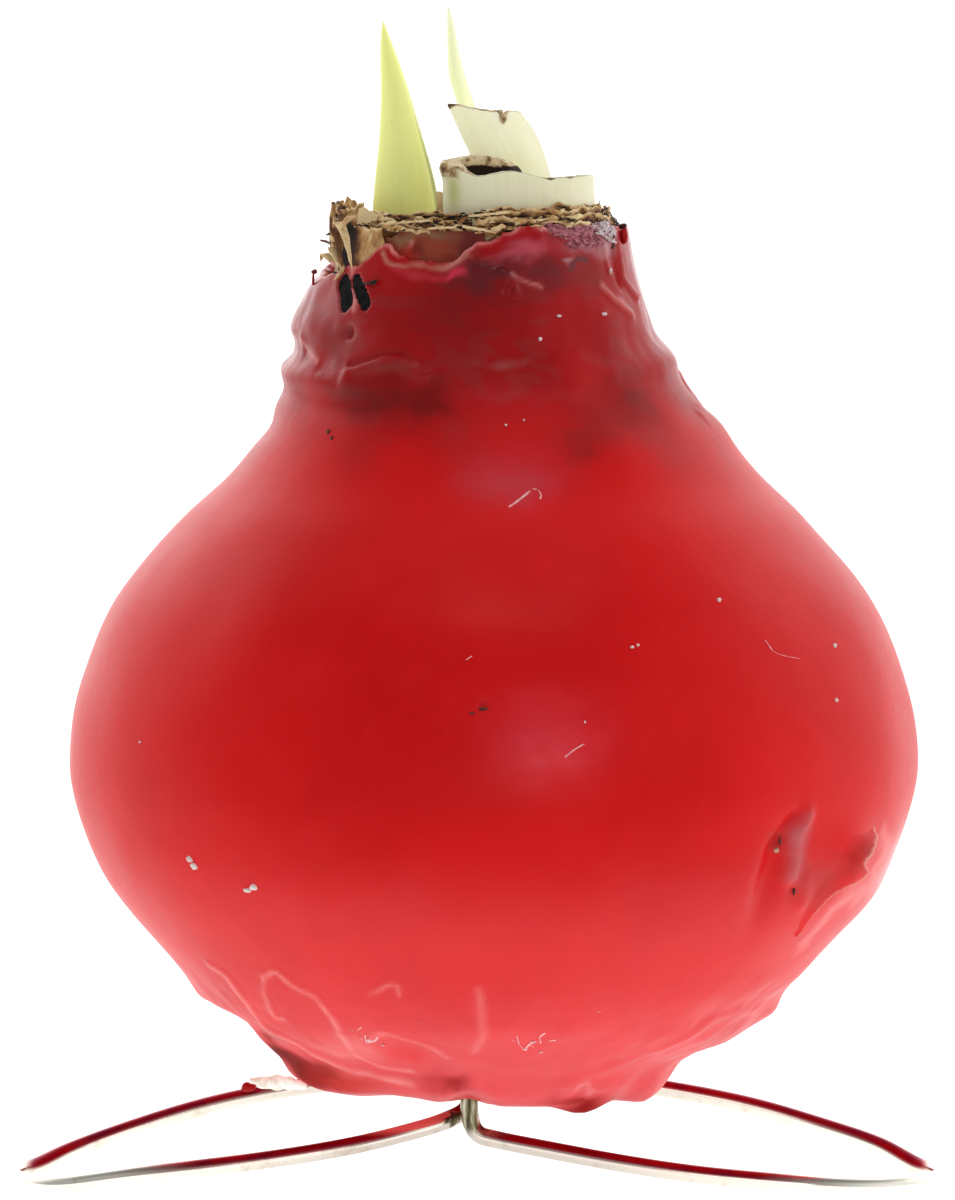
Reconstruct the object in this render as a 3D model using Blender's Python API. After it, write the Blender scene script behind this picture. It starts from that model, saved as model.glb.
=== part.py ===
"""An amaryllis bulb dipped in red wax, with cut leaves, on a foot bent from one length of wire.

All lengths in this script are millimetres until a mesh is made, where MM turns them into metres.
The origin is on the surface that the foot stands on, under the middle of the foot. +Z is up,
+X is to the right and -Y is the front. Angles are in degrees round +Z, with 0 at +X and -90 in front.
"""

import math

import bmesh
import bpy
from mathutils import Vector, noise

MM = 0.001
GAP = 0.3

# Turned outlines, as radius and height. The wax is followed from its underside to its rim.
WAX_OUTLINE = (
    (0, 10.0), (10, 10.2), (16.2, 10.7), (20.2, 12.1), (22.6, 14.8), (27.0, 17.8), (31.6, 21.4),
    (35.7, 25.6), (42.4, 34), (46.0, 43), (46.7, 49), (45.5, 56), (41.5, 65), (34.6, 73.5),
    (28.9, 79), (24.6, 84.6), (22.1, 89), (20.2, 93.5), (18.7, 98), (17.5, 102), (16.8, 106),
)
WAX_RIM_WIDTH = 1.5
WAX_INSIDE_NECK = ((18.2, 94.6), (17.0, 98), (15.7, 102), (15.3, 104), (15.3, 112))
BULB_OUTLINE = (
    (0, 13.2), (16.0, 13.9), (19.5, 16.4), (29.2, 23.8), (33.8, 27.8), (40.3, 36), (44.2, 45.5),
    (43.9, 54), (39.6, 64.6), (32.8, 72.8), (22.6, 84.2), (19.9, 89), (18.2, 92.8), (16.4, 94.6),
    (15.5, 98), (14.4, 102), (13.9, 104.2),
)
BULB_NECK_FROM = 93
NECK_TOP = 104.8
NECK_DISH = 0.6
SCALE_RING_SPACING = 2.6
SCALE_RING_RISE = 0.35

AXIS_SHIFT_BODY = 1.8
AXIS_SHIFT_NECK = -0.3
AXIS_SHIFT_FOOT = 0.5
COLUMNS = 48

# How high the wax rim reaches at each angle round the neck
RIM_FROM = 94
RIM_LEVELS = (
    (-180, 101.2), (-160, 101.0), (-140, 102.3), (-126, 104.7), (-114, 103.3), (-100, 102.9),
    (-88, 105.2), (-70, 106.9), (-50, 105.9), (-20, 106.2), (20, 105.3), (70, 104.7),
    (120, 105.0), (148, 102.2), (158, 101.3), (180, 101.2),
)

# Swells and dents in the wax: angle, height, rise, half-width along the surface, half-height
WAX_SWELLS = (
    (187, 95.0, 1.2, 7.0, 2.6),
    (-112, 94.0, 0.5, 6.0, 3.0),
    (-32, 37.6, 1.5, 4.6, 4.2),
    (-47, 37.8, -1.3, 1.9, 4.4),
    (-60, 83.5, 0.5, 8.0, 2.2),
    (0, 19.2, 1.6, 6.5, 1.9),
    (-22, 17.6, 0.8, 4.0, 1.8),
    (188, 20.6, 0.9, 8.0, 2.0),
    (62, 41.0, 0.8, 9.0, 6.0),
    (130, 30.0, 0.7, 7.0, 3.0),
    (95, 92.0, 0.9, 9.0, 2.0),
)
COLLAR_HEIGHT = 91.8
COLLAR_RISE = 0.7
HEM_HEIGHT = 19.6
HEM_RISE = 0.8
WOBBLE_RISE = 0.35
WOBBLE_SIZE = 16

# Runs of wax that hang under the bulb and onto the wire: middle and half-sizes
WAX_DRIPS = (
    ((-16.6, 11.2, 13.4), (3.8, 3.6, 4.3)),
    ((17.2, 10.8, 13.0), (4.2, 3.6, 4.2)),
    ((11.4, -11.0, 12.2), (3.6, 3.0, 2.6)),
    ((18.6, -7.2, 13.4), (3.0, 4.4, 2.7)),
    ((-0.8, -8.4, 11.0), (3.6, 3.0, 1.7)),
    ((3.5, 16.2, 12.6), (4.2, 3.4, 2.8)),
)
# Two tears in the wax under the torn scale: angle, lowest and highest level, width
TEARS = ((-140.5, 97.4, 106, 1.3), (-131.5, 97.6, 101.8, 1.1))
TEAR_DEPTH = 1.1

# Wire foot
WIRE_RADIUS = 1.0
WIRE_SIDES = 12
WIRE_RING_SPACING = 3.2
FOOT_HEIGHT = WIRE_RADIUS * math.cos(math.pi / WIRE_SIDES)
WIRE_ROUTE = (
    (-0.4, -7.6, 23), (-0.4, -7.6, 17), (-0.4, -7.6, 11.5), (-0.3, -7.6, 8.6), (0.4, -7.7, 6.9),
    (2.4, -8.0, 6.1), (8, -9.2, 5.1), (16, -10.6, 3.8), (24, -11.2, 2.7), (32, -11.1, 1.9),
    (39, -10.2, 1.3), (44.5, -8.2, FOOT_HEIGHT), (48.6, -4.8, FOOT_HEIGHT), (51.2, 0, FOOT_HEIGHT),
    (50.7, 4.6, FOOT_HEIGHT), (48.6, 7.8, 1.3), (44.4, 10.6, 3.2), (38, 12.0, 5.2),
    (31, 12.5, 7.2), (24, 12.4, 8.7), (16, 12.0, 10.0), (8, 11.5, 10.8), (0, 11.2, 11.0),
    (-8, 11.5, 10.8), (-16, 12.0, 10.0), (-24, 12.4, 8.7), (-31, 12.5, 7.1), (-38, 12.0, 5.0),
    (-44.8, 10.6, 2.7), (-48.8, 7.8, 1.2), (-50.8, 4.6, FOOT_HEIGHT), (-51.3, 0, FOOT_HEIGHT),
    (-49.0, -4.8, FOOT_HEIGHT), (-45.2, -8.2, 1.2), (-38, -10.3, 2.4), (-30, -11.1, 3.4),
    (-22, -10.8, 4.4), (-14, -9.6, 5.6), (-7.5, -7.4, 6.9), (-3.2, -5.2, 8.0), (-1.1, -4.1, 9.2),
    (-0.6, -3.9, 11.5), (-0.6, -3.9, 17), (-0.6, -3.9, 23),
)

# Blades, by stations from the foot up: x, y, z, width, thickness and how far the edges bow back
LEAF_LEFT = (
    (-7.3, -2.4, 100.4, 7.6, 1.9, 1.6), (-7.5, -2.6, 104.6, 7.8, 1.8, 1.7),
    (-7.65, -2.8, 107.9, 7.7, 1.7, 1.8), (-7.9, -2.9, 111.7, 6.6, 1.5, 1.6),
    (-8.2, -3.0, 115.0, 5.3, 1.4, 1.3), (-8.6, -3.1, 118.3, 4.1, 1.2, 1.0),
    (-9.1, -3.2, 121.8, 3.0, 1.1, 0.7), (-9.7, -3.2, 125.0, 1.9, 0.9, 0.4),
    (-10.2, -3.2, 127.4, 1.1, 0.8, 0.2), (-10.35, -3.2, 128.6, 0.6, 0.6, 0.0),
)
LEAF_BACK = (
    (3.4, 5.4, 100.4, 3.0, 1.2, 0.3), (3.0, 5.2, 104.6, 2.9, 1.2, 0.3),
    (1.9, 4.9, 108.5, 2.6, 1.1, 0.3), (0.4, 4.7, 113.0, 2.3, 1.0, 0.3),
    (-1.25, 4.5, 119.0, 1.9, 0.9, 0.3), (-2.2, 4.4, 122.2, 1.8, 0.8, 0.25),
    (-2.65, 4.3, 125.0, 1.3, 0.7, 0.1), (-2.95, 4.2, 128.0, 0.8, 0.6, 0.0),
    (-3.2, 4.1, 130.1, 0.6, 0.6, 0.0),
)
CUT_LEAF_UPPER = (
    (6.3, 0.6, 100.4, 7.2, 1.4, 0.9), (5.9, 0.5, 104.6, 7.3, 1.4, 0.9),
    (5.2, 0.4, 107.8, 7.4, 1.4, 0.9), (4.2, 0.3, 111.0, 7.7, 1.3, 0.8),
    (3.3, 0.2, 113.9, 7.9, 1.3, 0.7), (2.1, 0.1, 116.6, 8.3, 1.2, 0.5),
    (0.75, 0.0, 119.0, 8.0, 1.1, 0.3),
)
# How far the cut stands above or below its level, from the left edge to the right one
CUT_UPPER_EDGE = (0.5, 0.45, 0.3, 0.1, 0.0, -0.1, -0.2, -1.3, -0.3, -0.2, -0.4)
# The lower cut leaf in plan, from its right end round the front and back behind itself
CUT_LOWER_PLAN = (
    (12.2, -1.6), (11.6, -4.6), (9.8, -7.4), (7.0, -9.4), (3.4, -10.6), (0, -10.8), (-2.1, -10.1),
    (-3.0, -8.6), (-2.2, -7.2), (0.2, -6.7), (3.0, -6.9),
)
CUT_LOWER_TOP = (
    111.2, 111.6, 111.5, 111.9, 111.6, 112.2, 113.2, 113.9, 114.2, 114.5, 113.3,
)
CUT_LOWER_THICK = 1.3
CUT_LOWER_FOOT = 101.2
CUT_LOWER_LEAN = 0.5

# Dry scales round the neck: first and last angle, top level, how far it flares, noise seed
DRY_SCALES = {
    "dry_scale_front_left": (-162, -91.2, 108.2, 0.5, 3.1),
    "dry_scale_front_right": (-89.8, -15, 109.0, 0.3, 7.7),
    "dry_scale_right": (-12, 60, 107.9, 0.7, 12.3),
    "dry_scale_back": (63, 147, 107.6, 0.4, 19.9),
}
DRY_THICK = 0.65
DRY_SIDE = ((17.3, 95.2), (16.22, 98), (15.05, 102), (14.6, 104))
DRY_RAGGED = 1.5
# The torn scale that curls out over the rim on the left: radius and height from its foot
TORN_SIDE = (
    (17.3, 95.2), (16.22, 98), (15.05, 102), (14.55, 104.6), (14.4, 106.8), (14.9, 108.3),
    (15.8, 108.7), (16.5, 107.8), (16.8, 106.0), (17.1, 104.2),
)
TORN_ANGLES = (150, 195)
SCRAP = (
    (-25.0, 10.4, 9.4), (-23.4, 10.3, 10.1), (-21.6, 10.2, 10.4), (-19.9, 10.2, 10.1),
)


def smooth_step(low, high, value):
    share = min(1.0, max(0.0, (value - low) / (high - low)))
    return share * share * (3 - 2 * share)


def hump(distance, width):
    return math.exp(-((distance / width) ** 2))


def turn_between(angle, other):
    """The signed angle in degrees from other to angle, by the short way round."""
    return (angle - other + 180) % 360 - 180


def level_at(table, at):
    """The value that a table of (place, value) rows gives at this place, eased between its rows."""
    for (low, a), (high, b) in zip(table, table[1:]):
        if at <= high:
            return a + (b - a) * smooth_step(low, high, at)
    return table[-1][1]


def radius_at(outline, height):
    for (a, low), (b, high) in zip(outline, outline[1:]):
        if height <= high:
            return a + (b - a) * (height - low) / (high - low)
    return outline[-1][0]


def spline(points, steps):
    """Points on a smooth curve through the given ones, with this many steps in each span."""
    points = [Vector(p) for p in points]
    ends = [2 * points[0] - points[1], *points, 2 * points[-1] - points[-2]]
    found = []
    for a, b, c, d in zip(ends, ends[1:], ends[2:], ends[3:]):
        for step in range(steps):
            t = step / steps
            found.append(
                0.5 * (2 * b + (c - a) * t + (2 * a - 5 * b + 4 * c - d) * t**2
                       + (3 * b - a - 3 * c + d) * t**3)
            )
    return [*found, points[-1]]


def evenly_spaced(points, spacing):
    """The same route with its points this far apart, or a little less."""
    lengths = [0.0]
    for a, b in zip(points, points[1:]):
        lengths.append(lengths[-1] + (b - a).length)
    count = math.ceil(lengths[-1] / spacing)
    found, at = [], 0
    for i in range(count + 1):
        want = lengths[-1] * i / count
        while at < len(points) - 2 and lengths[at + 1] < want:
            at += 1
        share = (want - lengths[at]) / (lengths[at + 1] - lengths[at])
        found.append(points[at].lerp(points[at + 1], share))
    return found


def material(name, colour, roughness, metallic=0.0):
    made = bpy.data.materials.new(name)
    made.use_nodes = True
    shader = made.node_tree.nodes["Principled BSDF"]
    shader.inputs["Base Color"].default_value = (*colour, 1)
    shader.inputs["Roughness"].default_value = roughness
    shader.inputs["Metallic"].default_value = metallic
    return made


def object_of(name, mesh, finish=None, crease=40):
    bmesh.ops.recalc_face_normals(mesh, faces=mesh.faces)
    data = bpy.data.meshes.new(name)
    mesh.to_mesh(data)
    mesh.free()
    made = bpy.data.objects.new(name, data)
    bpy.context.scene.collection.objects.link(made)
    if finish:
        data.materials.append(finish)
    data.shade_smooth()
    data.set_sharp_from_angle(angle=math.radians(crease))
    return made


def solid_of_rings(name, rings, finish=None):
    """A closed mesh over rings of points that all have the same count. A ring of one point is a pole."""
    mesh = bmesh.new()
    rows = [[mesh.verts.new(Vector(p) * MM) for p in ring] for ring in rings]
    for low, high in zip(rows, rows[1:]):
        count = max(len(low), len(high))
        for i in range(count):
            j = (i + 1) % count
            if len(low) == 1:
                mesh.faces.new((low[0], high[j], high[i]))
            elif len(high) == 1:
                mesh.faces.new((low[i], low[j], high[0]))
            else:
                mesh.faces.new((low[i], low[j], high[j], high[i]))
    for end in (rows[0], rows[-1]):
        if len(end) > 1:
            mesh.faces.new(end)
    return object_of(name, mesh, finish)


def sheet(name, rows, thick, finish=None):
    """A closed sheet round a grid of points through its middle. thick(row, column) is its thickness."""
    last_row, last_column = len(rows) - 1, len(rows[0]) - 1
    mesh = bmesh.new()
    front, back = [], []
    for v, row in enumerate(rows):
        near, far = [], []
        for u, point in enumerate(row):
            along = rows[min(v + 1, last_row)][u] - rows[max(v - 1, 0)][u]
            across = row[min(u + 1, last_column)] - row[max(u - 1, 0)]
            out = across.cross(along).normalized() * thick(v, u) / 2
            near.append(mesh.verts.new((point + out) * MM))
            far.append(mesh.verts.new((point - out) * MM))
        front.append(near)
        back.append(far)
    for v in range(last_row):
        for u in range(last_column):
            mesh.faces.new((front[v][u], front[v][u + 1], front[v + 1][u + 1], front[v + 1][u]))
            mesh.faces.new((back[v][u], back[v + 1][u], back[v + 1][u + 1], back[v][u + 1]))
        mesh.faces.new((front[v][0], front[v + 1][0], back[v + 1][0], back[v][0]))
        mesh.faces.new((front[v][-1], back[v][-1], back[v + 1][-1], front[v + 1][-1]))
    for u in range(last_column):
        mesh.faces.new((front[0][u], back[0][u], back[0][u + 1], front[0][u + 1]))
        mesh.faces.new((front[-1][u], front[-1][u + 1], back[-1][u + 1], back[-1][u]))
    return object_of(name, mesh, finish)


def apply_modifiers(target):
    graph = bpy.context.evaluated_depsgraph_get()
    data = bpy.data.meshes.new_from_object(target.evaluated_get(graph))
    target.modifiers.clear()
    target.data = data


def boolean(target, operation, *others):
    """Joins the others to the target, or cuts them from it, and removes them."""
    for other in others:
        step = target.modifiers.new(operation.title(), "BOOLEAN")
        step.operation = operation
        step.solver = "EXACT"
        step.object = other
        apply_modifiers(target)
        bpy.data.objects.remove(other)


# Wax coat and bulb


def axis_shift(height):
    """How far the middle of the bulb stands to the right of the foot's middle, at this height."""
    body = AXIS_SHIFT_FOOT + (AXIS_SHIFT_BODY - AXIS_SHIFT_FOOT) * smooth_step(12, 26, height)
    return body + (AXIS_SHIFT_NECK - AXIS_SHIFT_BODY) * smooth_step(80, 95, height)


def wax_rise(angle, height, radius):
    """How far the wax stands out of its turned outline."""
    rise = 0.0
    for at, level, amount, half_width, half_height in WAX_SWELLS:
        along = math.radians(turn_between(angle, at)) * radius
        rise += amount * hump(along, half_width) * hump(height - level, half_height)
    collar = COLLAR_HEIGHT + 1.6 * math.sin(math.radians(angle + 35))
    rise += COLLAR_RISE * hump(height - collar, 1.4)
    rise -= COLLAR_RISE * 0.8 * hump(height - collar + 2.8, 1.5)
    hem = HEM_HEIGHT + 1.3 * math.sin(math.radians(3 * angle + 20))
    waves = 0.65 + 0.35 * math.sin(math.radians(7 * angle))
    rise += HEM_RISE * waves * hump(height - hem, 1.8)
    turn = math.radians(angle)
    spot = Vector((radius * math.cos(turn), radius * math.sin(turn), height)) / WOBBLE_SIZE
    return rise + WOBBLE_RISE * noise.noise(spot)


def round_point(radius, height, angle):
    turn = math.radians(angle)
    return Vector((
        axis_shift(height) + radius * math.cos(turn), radius * math.sin(turn), height
    ))


def ring(radius, height):
    return [round_point(radius, height, 360 * i / COLUMNS) for i in range(COLUMNS)]


def wax_ring(radius, height, inset=0.0, lift=0.0):
    """A ring of the wax's outer side. Near the rim it is squeezed to the rim's own level."""
    points = []
    for i in range(COLUMNS):
        angle = 360 * i / COLUMNS
        at, level = radius, height
        if height > RIM_FROM:
            rim = level_at(RIM_LEVELS, turn_between(angle, 0))
            top = WAX_OUTLINE[-1][1]
            level = RIM_FROM + (height - RIM_FROM) * (rim - RIM_FROM) / (top - RIM_FROM)
            at = radius_at(WAX_OUTLINE, level)
        calm = smooth_step(8, 20, at) * (1 - 0.7 * smooth_step(94, 104, level))
        at += wax_rise(angle, level, at) * calm
        points.append(round_point(at - inset, level + lift, angle))
    return points


def grown(outline, by):
    """An outline moved outwards by this much, at right angles to itself."""
    points = [Vector(p) for p in outline]
    found = []
    for i, point in enumerate(points):
        along = points[min(i + 1, len(points) - 1)] - points[max(i - 1, 0)]
        out = Vector((0, -1)) if point.x == 0 else Vector((along.y, -along.x)).normalized()
        found.append((point.x + out.x * by, point.y + out.y * by))
    return found


def wax_outside(finish):
    """The whole lump of wax, before the bulb's room is cut from it."""
    side = spline(WAX_OUTLINE, 2)
    rings = [[round_point(0, side[0].y, 0)]]
    rings += [wax_ring(p.x, p.y) for p in side[1:]]
    rings += [wax_ring(side[-1].x, side[-1].y, WAX_RIM_WIDTH * 0.4, 0.35)]
    rings += [wax_ring(side[-1].x, side[-1].y, WAX_RIM_WIDTH * 1.2)]
    rings += [[round_point(0, 98, 0)]]
    return solid_of_rings("wax_coat", rings, finish)


def wax_inside():
    """The room that the bulb takes in the wax, with the gap round it."""
    body = [p for p in grown(BULB_OUTLINE, GAP) if p[1] < BULB_NECK_FROM + 0.4]
    side = [Vector(p) for p in (*body, *WAX_INSIDE_NECK)]
    rings = [[round_point(0, side[0].y, 0)]]
    rings += [ring(p.x, p.y) for p in side[1:]]
    return solid_of_rings("wax_room", rings)


def bulb(finish):
    side = [Vector(p) for p in BULB_OUTLINE]
    rings = [[round_point(0, side[0].y, 0)]]
    rings += [ring(p.x, p.y) for p in side[1:]]
    rim = side[-1].x
    top_rings = 8
    for i in range(1, top_rings):
        radius = rim * (1 - i / top_rings)
        ridge = SCALE_RING_RISE * math.cos(math.tau * radius / SCALE_RING_SPACING)
        height = NECK_TOP - NECK_DISH * (1 - radius / rim) + ridge
        rings.append([round_point(radius, height, 360 * k / COLUMNS) for k in range(COLUMNS)])
    rings.append([round_point(0, NECK_TOP - NECK_DISH, 0)])
    return solid_of_rings("bulb", rings, finish)


def ellipsoid(name, middle, half_sizes):
    mesh = bmesh.new()
    bmesh.ops.create_uvsphere(mesh, u_segments=14, v_segments=8, radius=1)
    for v in mesh.verts:
        v.co = Vector([m + h * c for m, h, c in zip(middle, half_sizes, v.co)]) * MM
    return object_of(name, mesh)


def tear(angle, low, high, width):
    """A cutter for one slit in the wax, straight in from the outside and rounded at its foot."""
    turn = math.radians(angle)
    out = Vector((math.cos(turn), math.sin(turn), 0))
    across = Vector((-math.sin(turn), math.cos(turn), 0))
    rings = []
    for depth in (-TEAR_DEPTH, 4.0):
        points = []
        for side, level in (
            (-1, high), (-1, low + 0.9), (-0.5, low), (0.5, low), (1, low + 0.9), (1, high),
        ):
            inset = (level - low) * 0.27 if depth < 0 else 0
            base = round_point(radius_at(WAX_OUTLINE, low), level, angle)
            points.append(base + out * (depth - inset) + across * side * width / 2)
        rings.append(points)
    return solid_of_rings("tear", rings)


# Wire foot


def tube(name, route, radius, finish=None):
    """A round bar along a route. One flat side of it faces straight down wherever the route is level."""
    rings = []
    across = None
    for i, point in enumerate(route):
        along = (route[min(i + 1, len(route) - 1)] - route[max(i - 1, 0)]).normalized()
        level = along.cross(Vector((0, 0, 1)))
        if level.length > 0.05:
            across = level.normalized()
        elif across is None:
            across = Vector((0, -1, 0))
        across = (across - across.dot(along) * along).normalized()
        up = across.cross(along)
        points = []
        for k in range(WIRE_SIDES):
            turn = math.tau * (k + 0.5) / WIRE_SIDES
            points.append(point + radius * (math.sin(turn) * across - math.cos(turn) * up))
        rings.append(points)
    return solid_of_rings(name, rings, finish)


def wire_route():
    route = evenly_spaced(spline(WIRE_ROUTE, 8), WIRE_RING_SPACING)
    for point in route:
        point.z = max(point.z, FOOT_HEIGHT)
    return route


# Leaves and scales


def blade_rows(stations, columns, steps, grow=0.0):
    """The grid through the middle of a blade that faces the front."""
    rows = []
    for x, y, z, width, thick, bow in spline(stations, steps):
        half = width / 2 + grow
        row = []
        for k in range(columns + 1):
            u = 2 * k / columns - 1
            row.append(Vector((x + u * half, y + bow * u * u, z)))
        rows.append(row)
    return rows


def blade(name, stations, columns, finish, edge=None):
    rows = blade_rows(stations, columns, 1)
    if edge:
        for k, rise in enumerate(edge):
            rows[-1][k].z += rise
            rows[-2][k].z += rise * 0.25

    def thick(v, u):
        middle = 1 - abs(2 * u / columns - 1)
        return max(0.6, stations[v][4] * (0.55 + 0.45 * smooth_step(0, 0.6, middle)))

    return sheet(name, rows, thick, finish)


def blade_socket(stations, columns):
    """A cutter for the plain hole in the neck that a blade stands in."""
    rows = blade_rows(stations, columns, 1, grow=GAP * 1.5)[:3]
    for point in rows[0]:
        point.z -= GAP * 1.5
    thick = stations[0][4] + 3 * GAP
    return sheet("socket", rows, lambda v, u: thick)


def cut_lower_rows(top=None, grow=0.0):
    plan = [Vector((x, y)) for x, y in CUT_LOWER_PLAN]
    first = plan[0] + (plan[0] - plan[1]).normalized() * grow
    last = plan[-1] + (plan[-1] - plan[-2]).normalized() * grow
    plan = spline([first, *plan[1:-1], last], 2)
    tops = [p.x for p in spline([Vector((t, 0)) for t in CUT_LOWER_TOP], 2)]
    levels = 5
    rows = []
    for v in range(levels + 1):
        row = []
        for at, high in zip(plan, tops):
            share = v / levels
            level = CUT_LOWER_FOOT - grow + ((top or high) - CUT_LOWER_FOOT + grow) * share
            out = 1 + CUT_LOWER_LEAN * smooth_step(NECK_TOP + 1, 109, level) / 12
            row.append(Vector((at.x * out, at.y * out, level)))
        rows.append(row)
    return rows


def ragged(seed, place):
    """A torn edge: how far it stands above or below its level at this place along it, in mm."""
    coarse = noise.noise(Vector((place * 0.23, seed, 0.5)))
    fine = noise.noise(Vector((place * 0.9, seed, 4.5)))
    return DRY_RAGGED * (0.8 * coarse + 0.6 * fine)


def dry_scale(name, first, last, top, flare, seed, finish):
    columns = round((last - first) / 4.8)
    side = [Vector(p) for p in DRY_SIDE]
    rows = [[] for _ in range(8)]
    for k in range(columns + 1):
        angle = first + (last - first) * k / columns
        end_drop = 0.9 * (hump(angle - first, 6) + hump(angle - last, 6))
        high = top + ragged(seed, angle) - end_drop
        wave = 0.35 * math.sin(math.radians(9 * angle + 40 * seed))
        for v in range(4):
            rows[v].append(round_point(side[v].x, side[v].y, angle))
        for v in range(1, 5):
            level = side[-1].y + (high - side[-1].y) * v / 4
            rim = level_at(RIM_LEVELS, turn_between(angle, 0))
            out = (flare + wave) * smooth_step(rim + 0.5, rim + 2.2, level)
            rows[v + 3].append(round_point(side[-1].x + out, level, angle))
    return sheet(name, rows, lambda v, u: DRY_THICK, finish)


def torn_scale(finish):
    """The scale on the left that curls out over the wax and ends in torn points."""
    first, last = TORN_ANGLES
    columns = 12
    side = spline(TORN_SIDE, 1)
    rows = [[] for _ in side]
    for k in range(columns + 1):
        angle = first + (last - first) * k / columns
        point_drop = (1.6 if k % 3 == 1 else 0.0) + 1.2 * noise.noise(Vector((k * 0.7, 2.5, 0)))
        crest = 0.9 * noise.noise(Vector((k * 0.31, 8.5, 0)))
        for v, at in enumerate(side):
            share = smooth_step(6, len(side) - 1, v)
            lift = crest * smooth_step(3, 6, v) - point_drop * share
            close = 0.5 * share * noise.noise(Vector((k * 0.5, 5.5, 0)))
            rows[v].append(round_point(at.x + close, at.y + lift, angle))
    return sheet("torn_scale_left", rows, lambda v, u: DRY_THICK, finish)


def scale_scrap(finish):
    route = spline(SCRAP, 2)
    rows = []
    for level in (-0.8, -0.3, 0.3, 0.8):
        row = []
        for i, point in enumerate(route):
            narrow = 1 - 0.45 * abs(2 * i / (len(route) - 1) - 1)
            row.append(point + Vector((0, 0.25 * level * level, level * narrow)))
        rows.append(row)
    return sheet("scale_scrap", rows, lambda v, u: 0.65, finish)


def main():
    for old in list(bpy.data.objects):
        bpy.data.objects.remove(old)
    wax_red = material("wax_red", (0.62, 0.012, 0.016), 0.3)
    flesh = material("bulb_flesh", (0.62, 0.58, 0.36), 0.6)
    steel = material("wire_steel", (0.72, 0.72, 0.7), 0.2, 1.0)
    dry = material("dry_scale", (0.36, 0.24, 0.12), 0.7)
    leaf_green = material("leaf_green", (0.62, 0.7, 0.2), 0.5)
    cut_green = material("cut_leaf", (0.72, 0.73, 0.46), 0.55)
    pale = material("pale_scale", (0.75, 0.7, 0.6), 0.6)

    coat = wax_outside(wax_red)
    boolean(coat, "UNION", *[ellipsoid("drip", *drip) for drip in WAX_DRIPS])
    boolean(coat, "DIFFERENCE", wax_inside(), *[tear(*t) for t in TEARS])
    body = bulb(flesh)
    route = wire_route()
    tube("wire_stand", route, WIRE_RADIUS, steel)
    boolean(coat, "DIFFERENCE", tube("wire_hole", route, WIRE_RADIUS + GAP))
    boolean(body, "DIFFERENCE", tube("wire_hole", route, WIRE_RADIUS + GAP))

    blade("leaf_left", LEAF_LEFT, 8, leaf_green)
    blade("leaf_back", LEAF_BACK, 4, leaf_green)
    blade("cut_leaf_upper", CUT_LEAF_UPPER, 10, cut_green, CUT_UPPER_EDGE)
    sheet("cut_leaf_lower", cut_lower_rows(), lambda v, u: CUT_LOWER_THICK, cut_green)
    sockets = [
        blade_socket(LEAF_LEFT, 6), blade_socket(LEAF_BACK, 4), blade_socket(CUT_LEAF_UPPER, 6),
        sheet("socket", cut_lower_rows(106.5, GAP), lambda v, u: CUT_LOWER_THICK + 2.4 * GAP),
    ]
    boolean(body, "DIFFERENCE", *sockets)

    for name, (first, last, top, flare, seed) in DRY_SCALES.items():
        dry_scale(name, first, last, top, flare, seed, dry)
    torn_scale(dry)
    scale_scrap(pale)


main()
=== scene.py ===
"""The look of an amaryllis bulb dipped in red wax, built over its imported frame.

Lengths are millimetres until a mesh is made, where MM turns them into metres. The outlines, swells
and stations are those of the part's own source, followed here with finer steps and trimmed by a
millimetre or two in a few places.
"""

import math

import bpy
import numpy as np
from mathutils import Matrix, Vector, noise


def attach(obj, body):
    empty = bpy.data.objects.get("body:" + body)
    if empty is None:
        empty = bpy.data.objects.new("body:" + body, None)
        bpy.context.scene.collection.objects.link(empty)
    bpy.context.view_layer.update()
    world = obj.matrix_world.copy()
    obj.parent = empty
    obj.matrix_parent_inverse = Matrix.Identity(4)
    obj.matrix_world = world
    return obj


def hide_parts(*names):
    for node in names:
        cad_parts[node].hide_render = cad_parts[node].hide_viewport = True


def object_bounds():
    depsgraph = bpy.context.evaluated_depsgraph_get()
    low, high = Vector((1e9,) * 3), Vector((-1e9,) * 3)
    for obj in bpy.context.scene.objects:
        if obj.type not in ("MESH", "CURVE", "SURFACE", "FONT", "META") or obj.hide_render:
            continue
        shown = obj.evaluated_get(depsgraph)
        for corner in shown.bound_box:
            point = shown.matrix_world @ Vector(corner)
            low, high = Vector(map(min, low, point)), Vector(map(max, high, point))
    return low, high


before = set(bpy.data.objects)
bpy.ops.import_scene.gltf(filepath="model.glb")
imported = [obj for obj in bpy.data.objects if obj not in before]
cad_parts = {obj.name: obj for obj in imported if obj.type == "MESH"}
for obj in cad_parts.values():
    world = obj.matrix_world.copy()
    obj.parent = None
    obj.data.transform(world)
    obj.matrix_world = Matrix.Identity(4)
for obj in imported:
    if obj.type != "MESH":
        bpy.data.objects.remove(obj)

cad_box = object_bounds()
MM = 0.001
# How many mm a sheet's UV map has to a unit, and the angle past which its edges stay sharp
UV_SIZE = 10.0
SHEET_SHARP = 60

# Shapes that follow the part's

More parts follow.
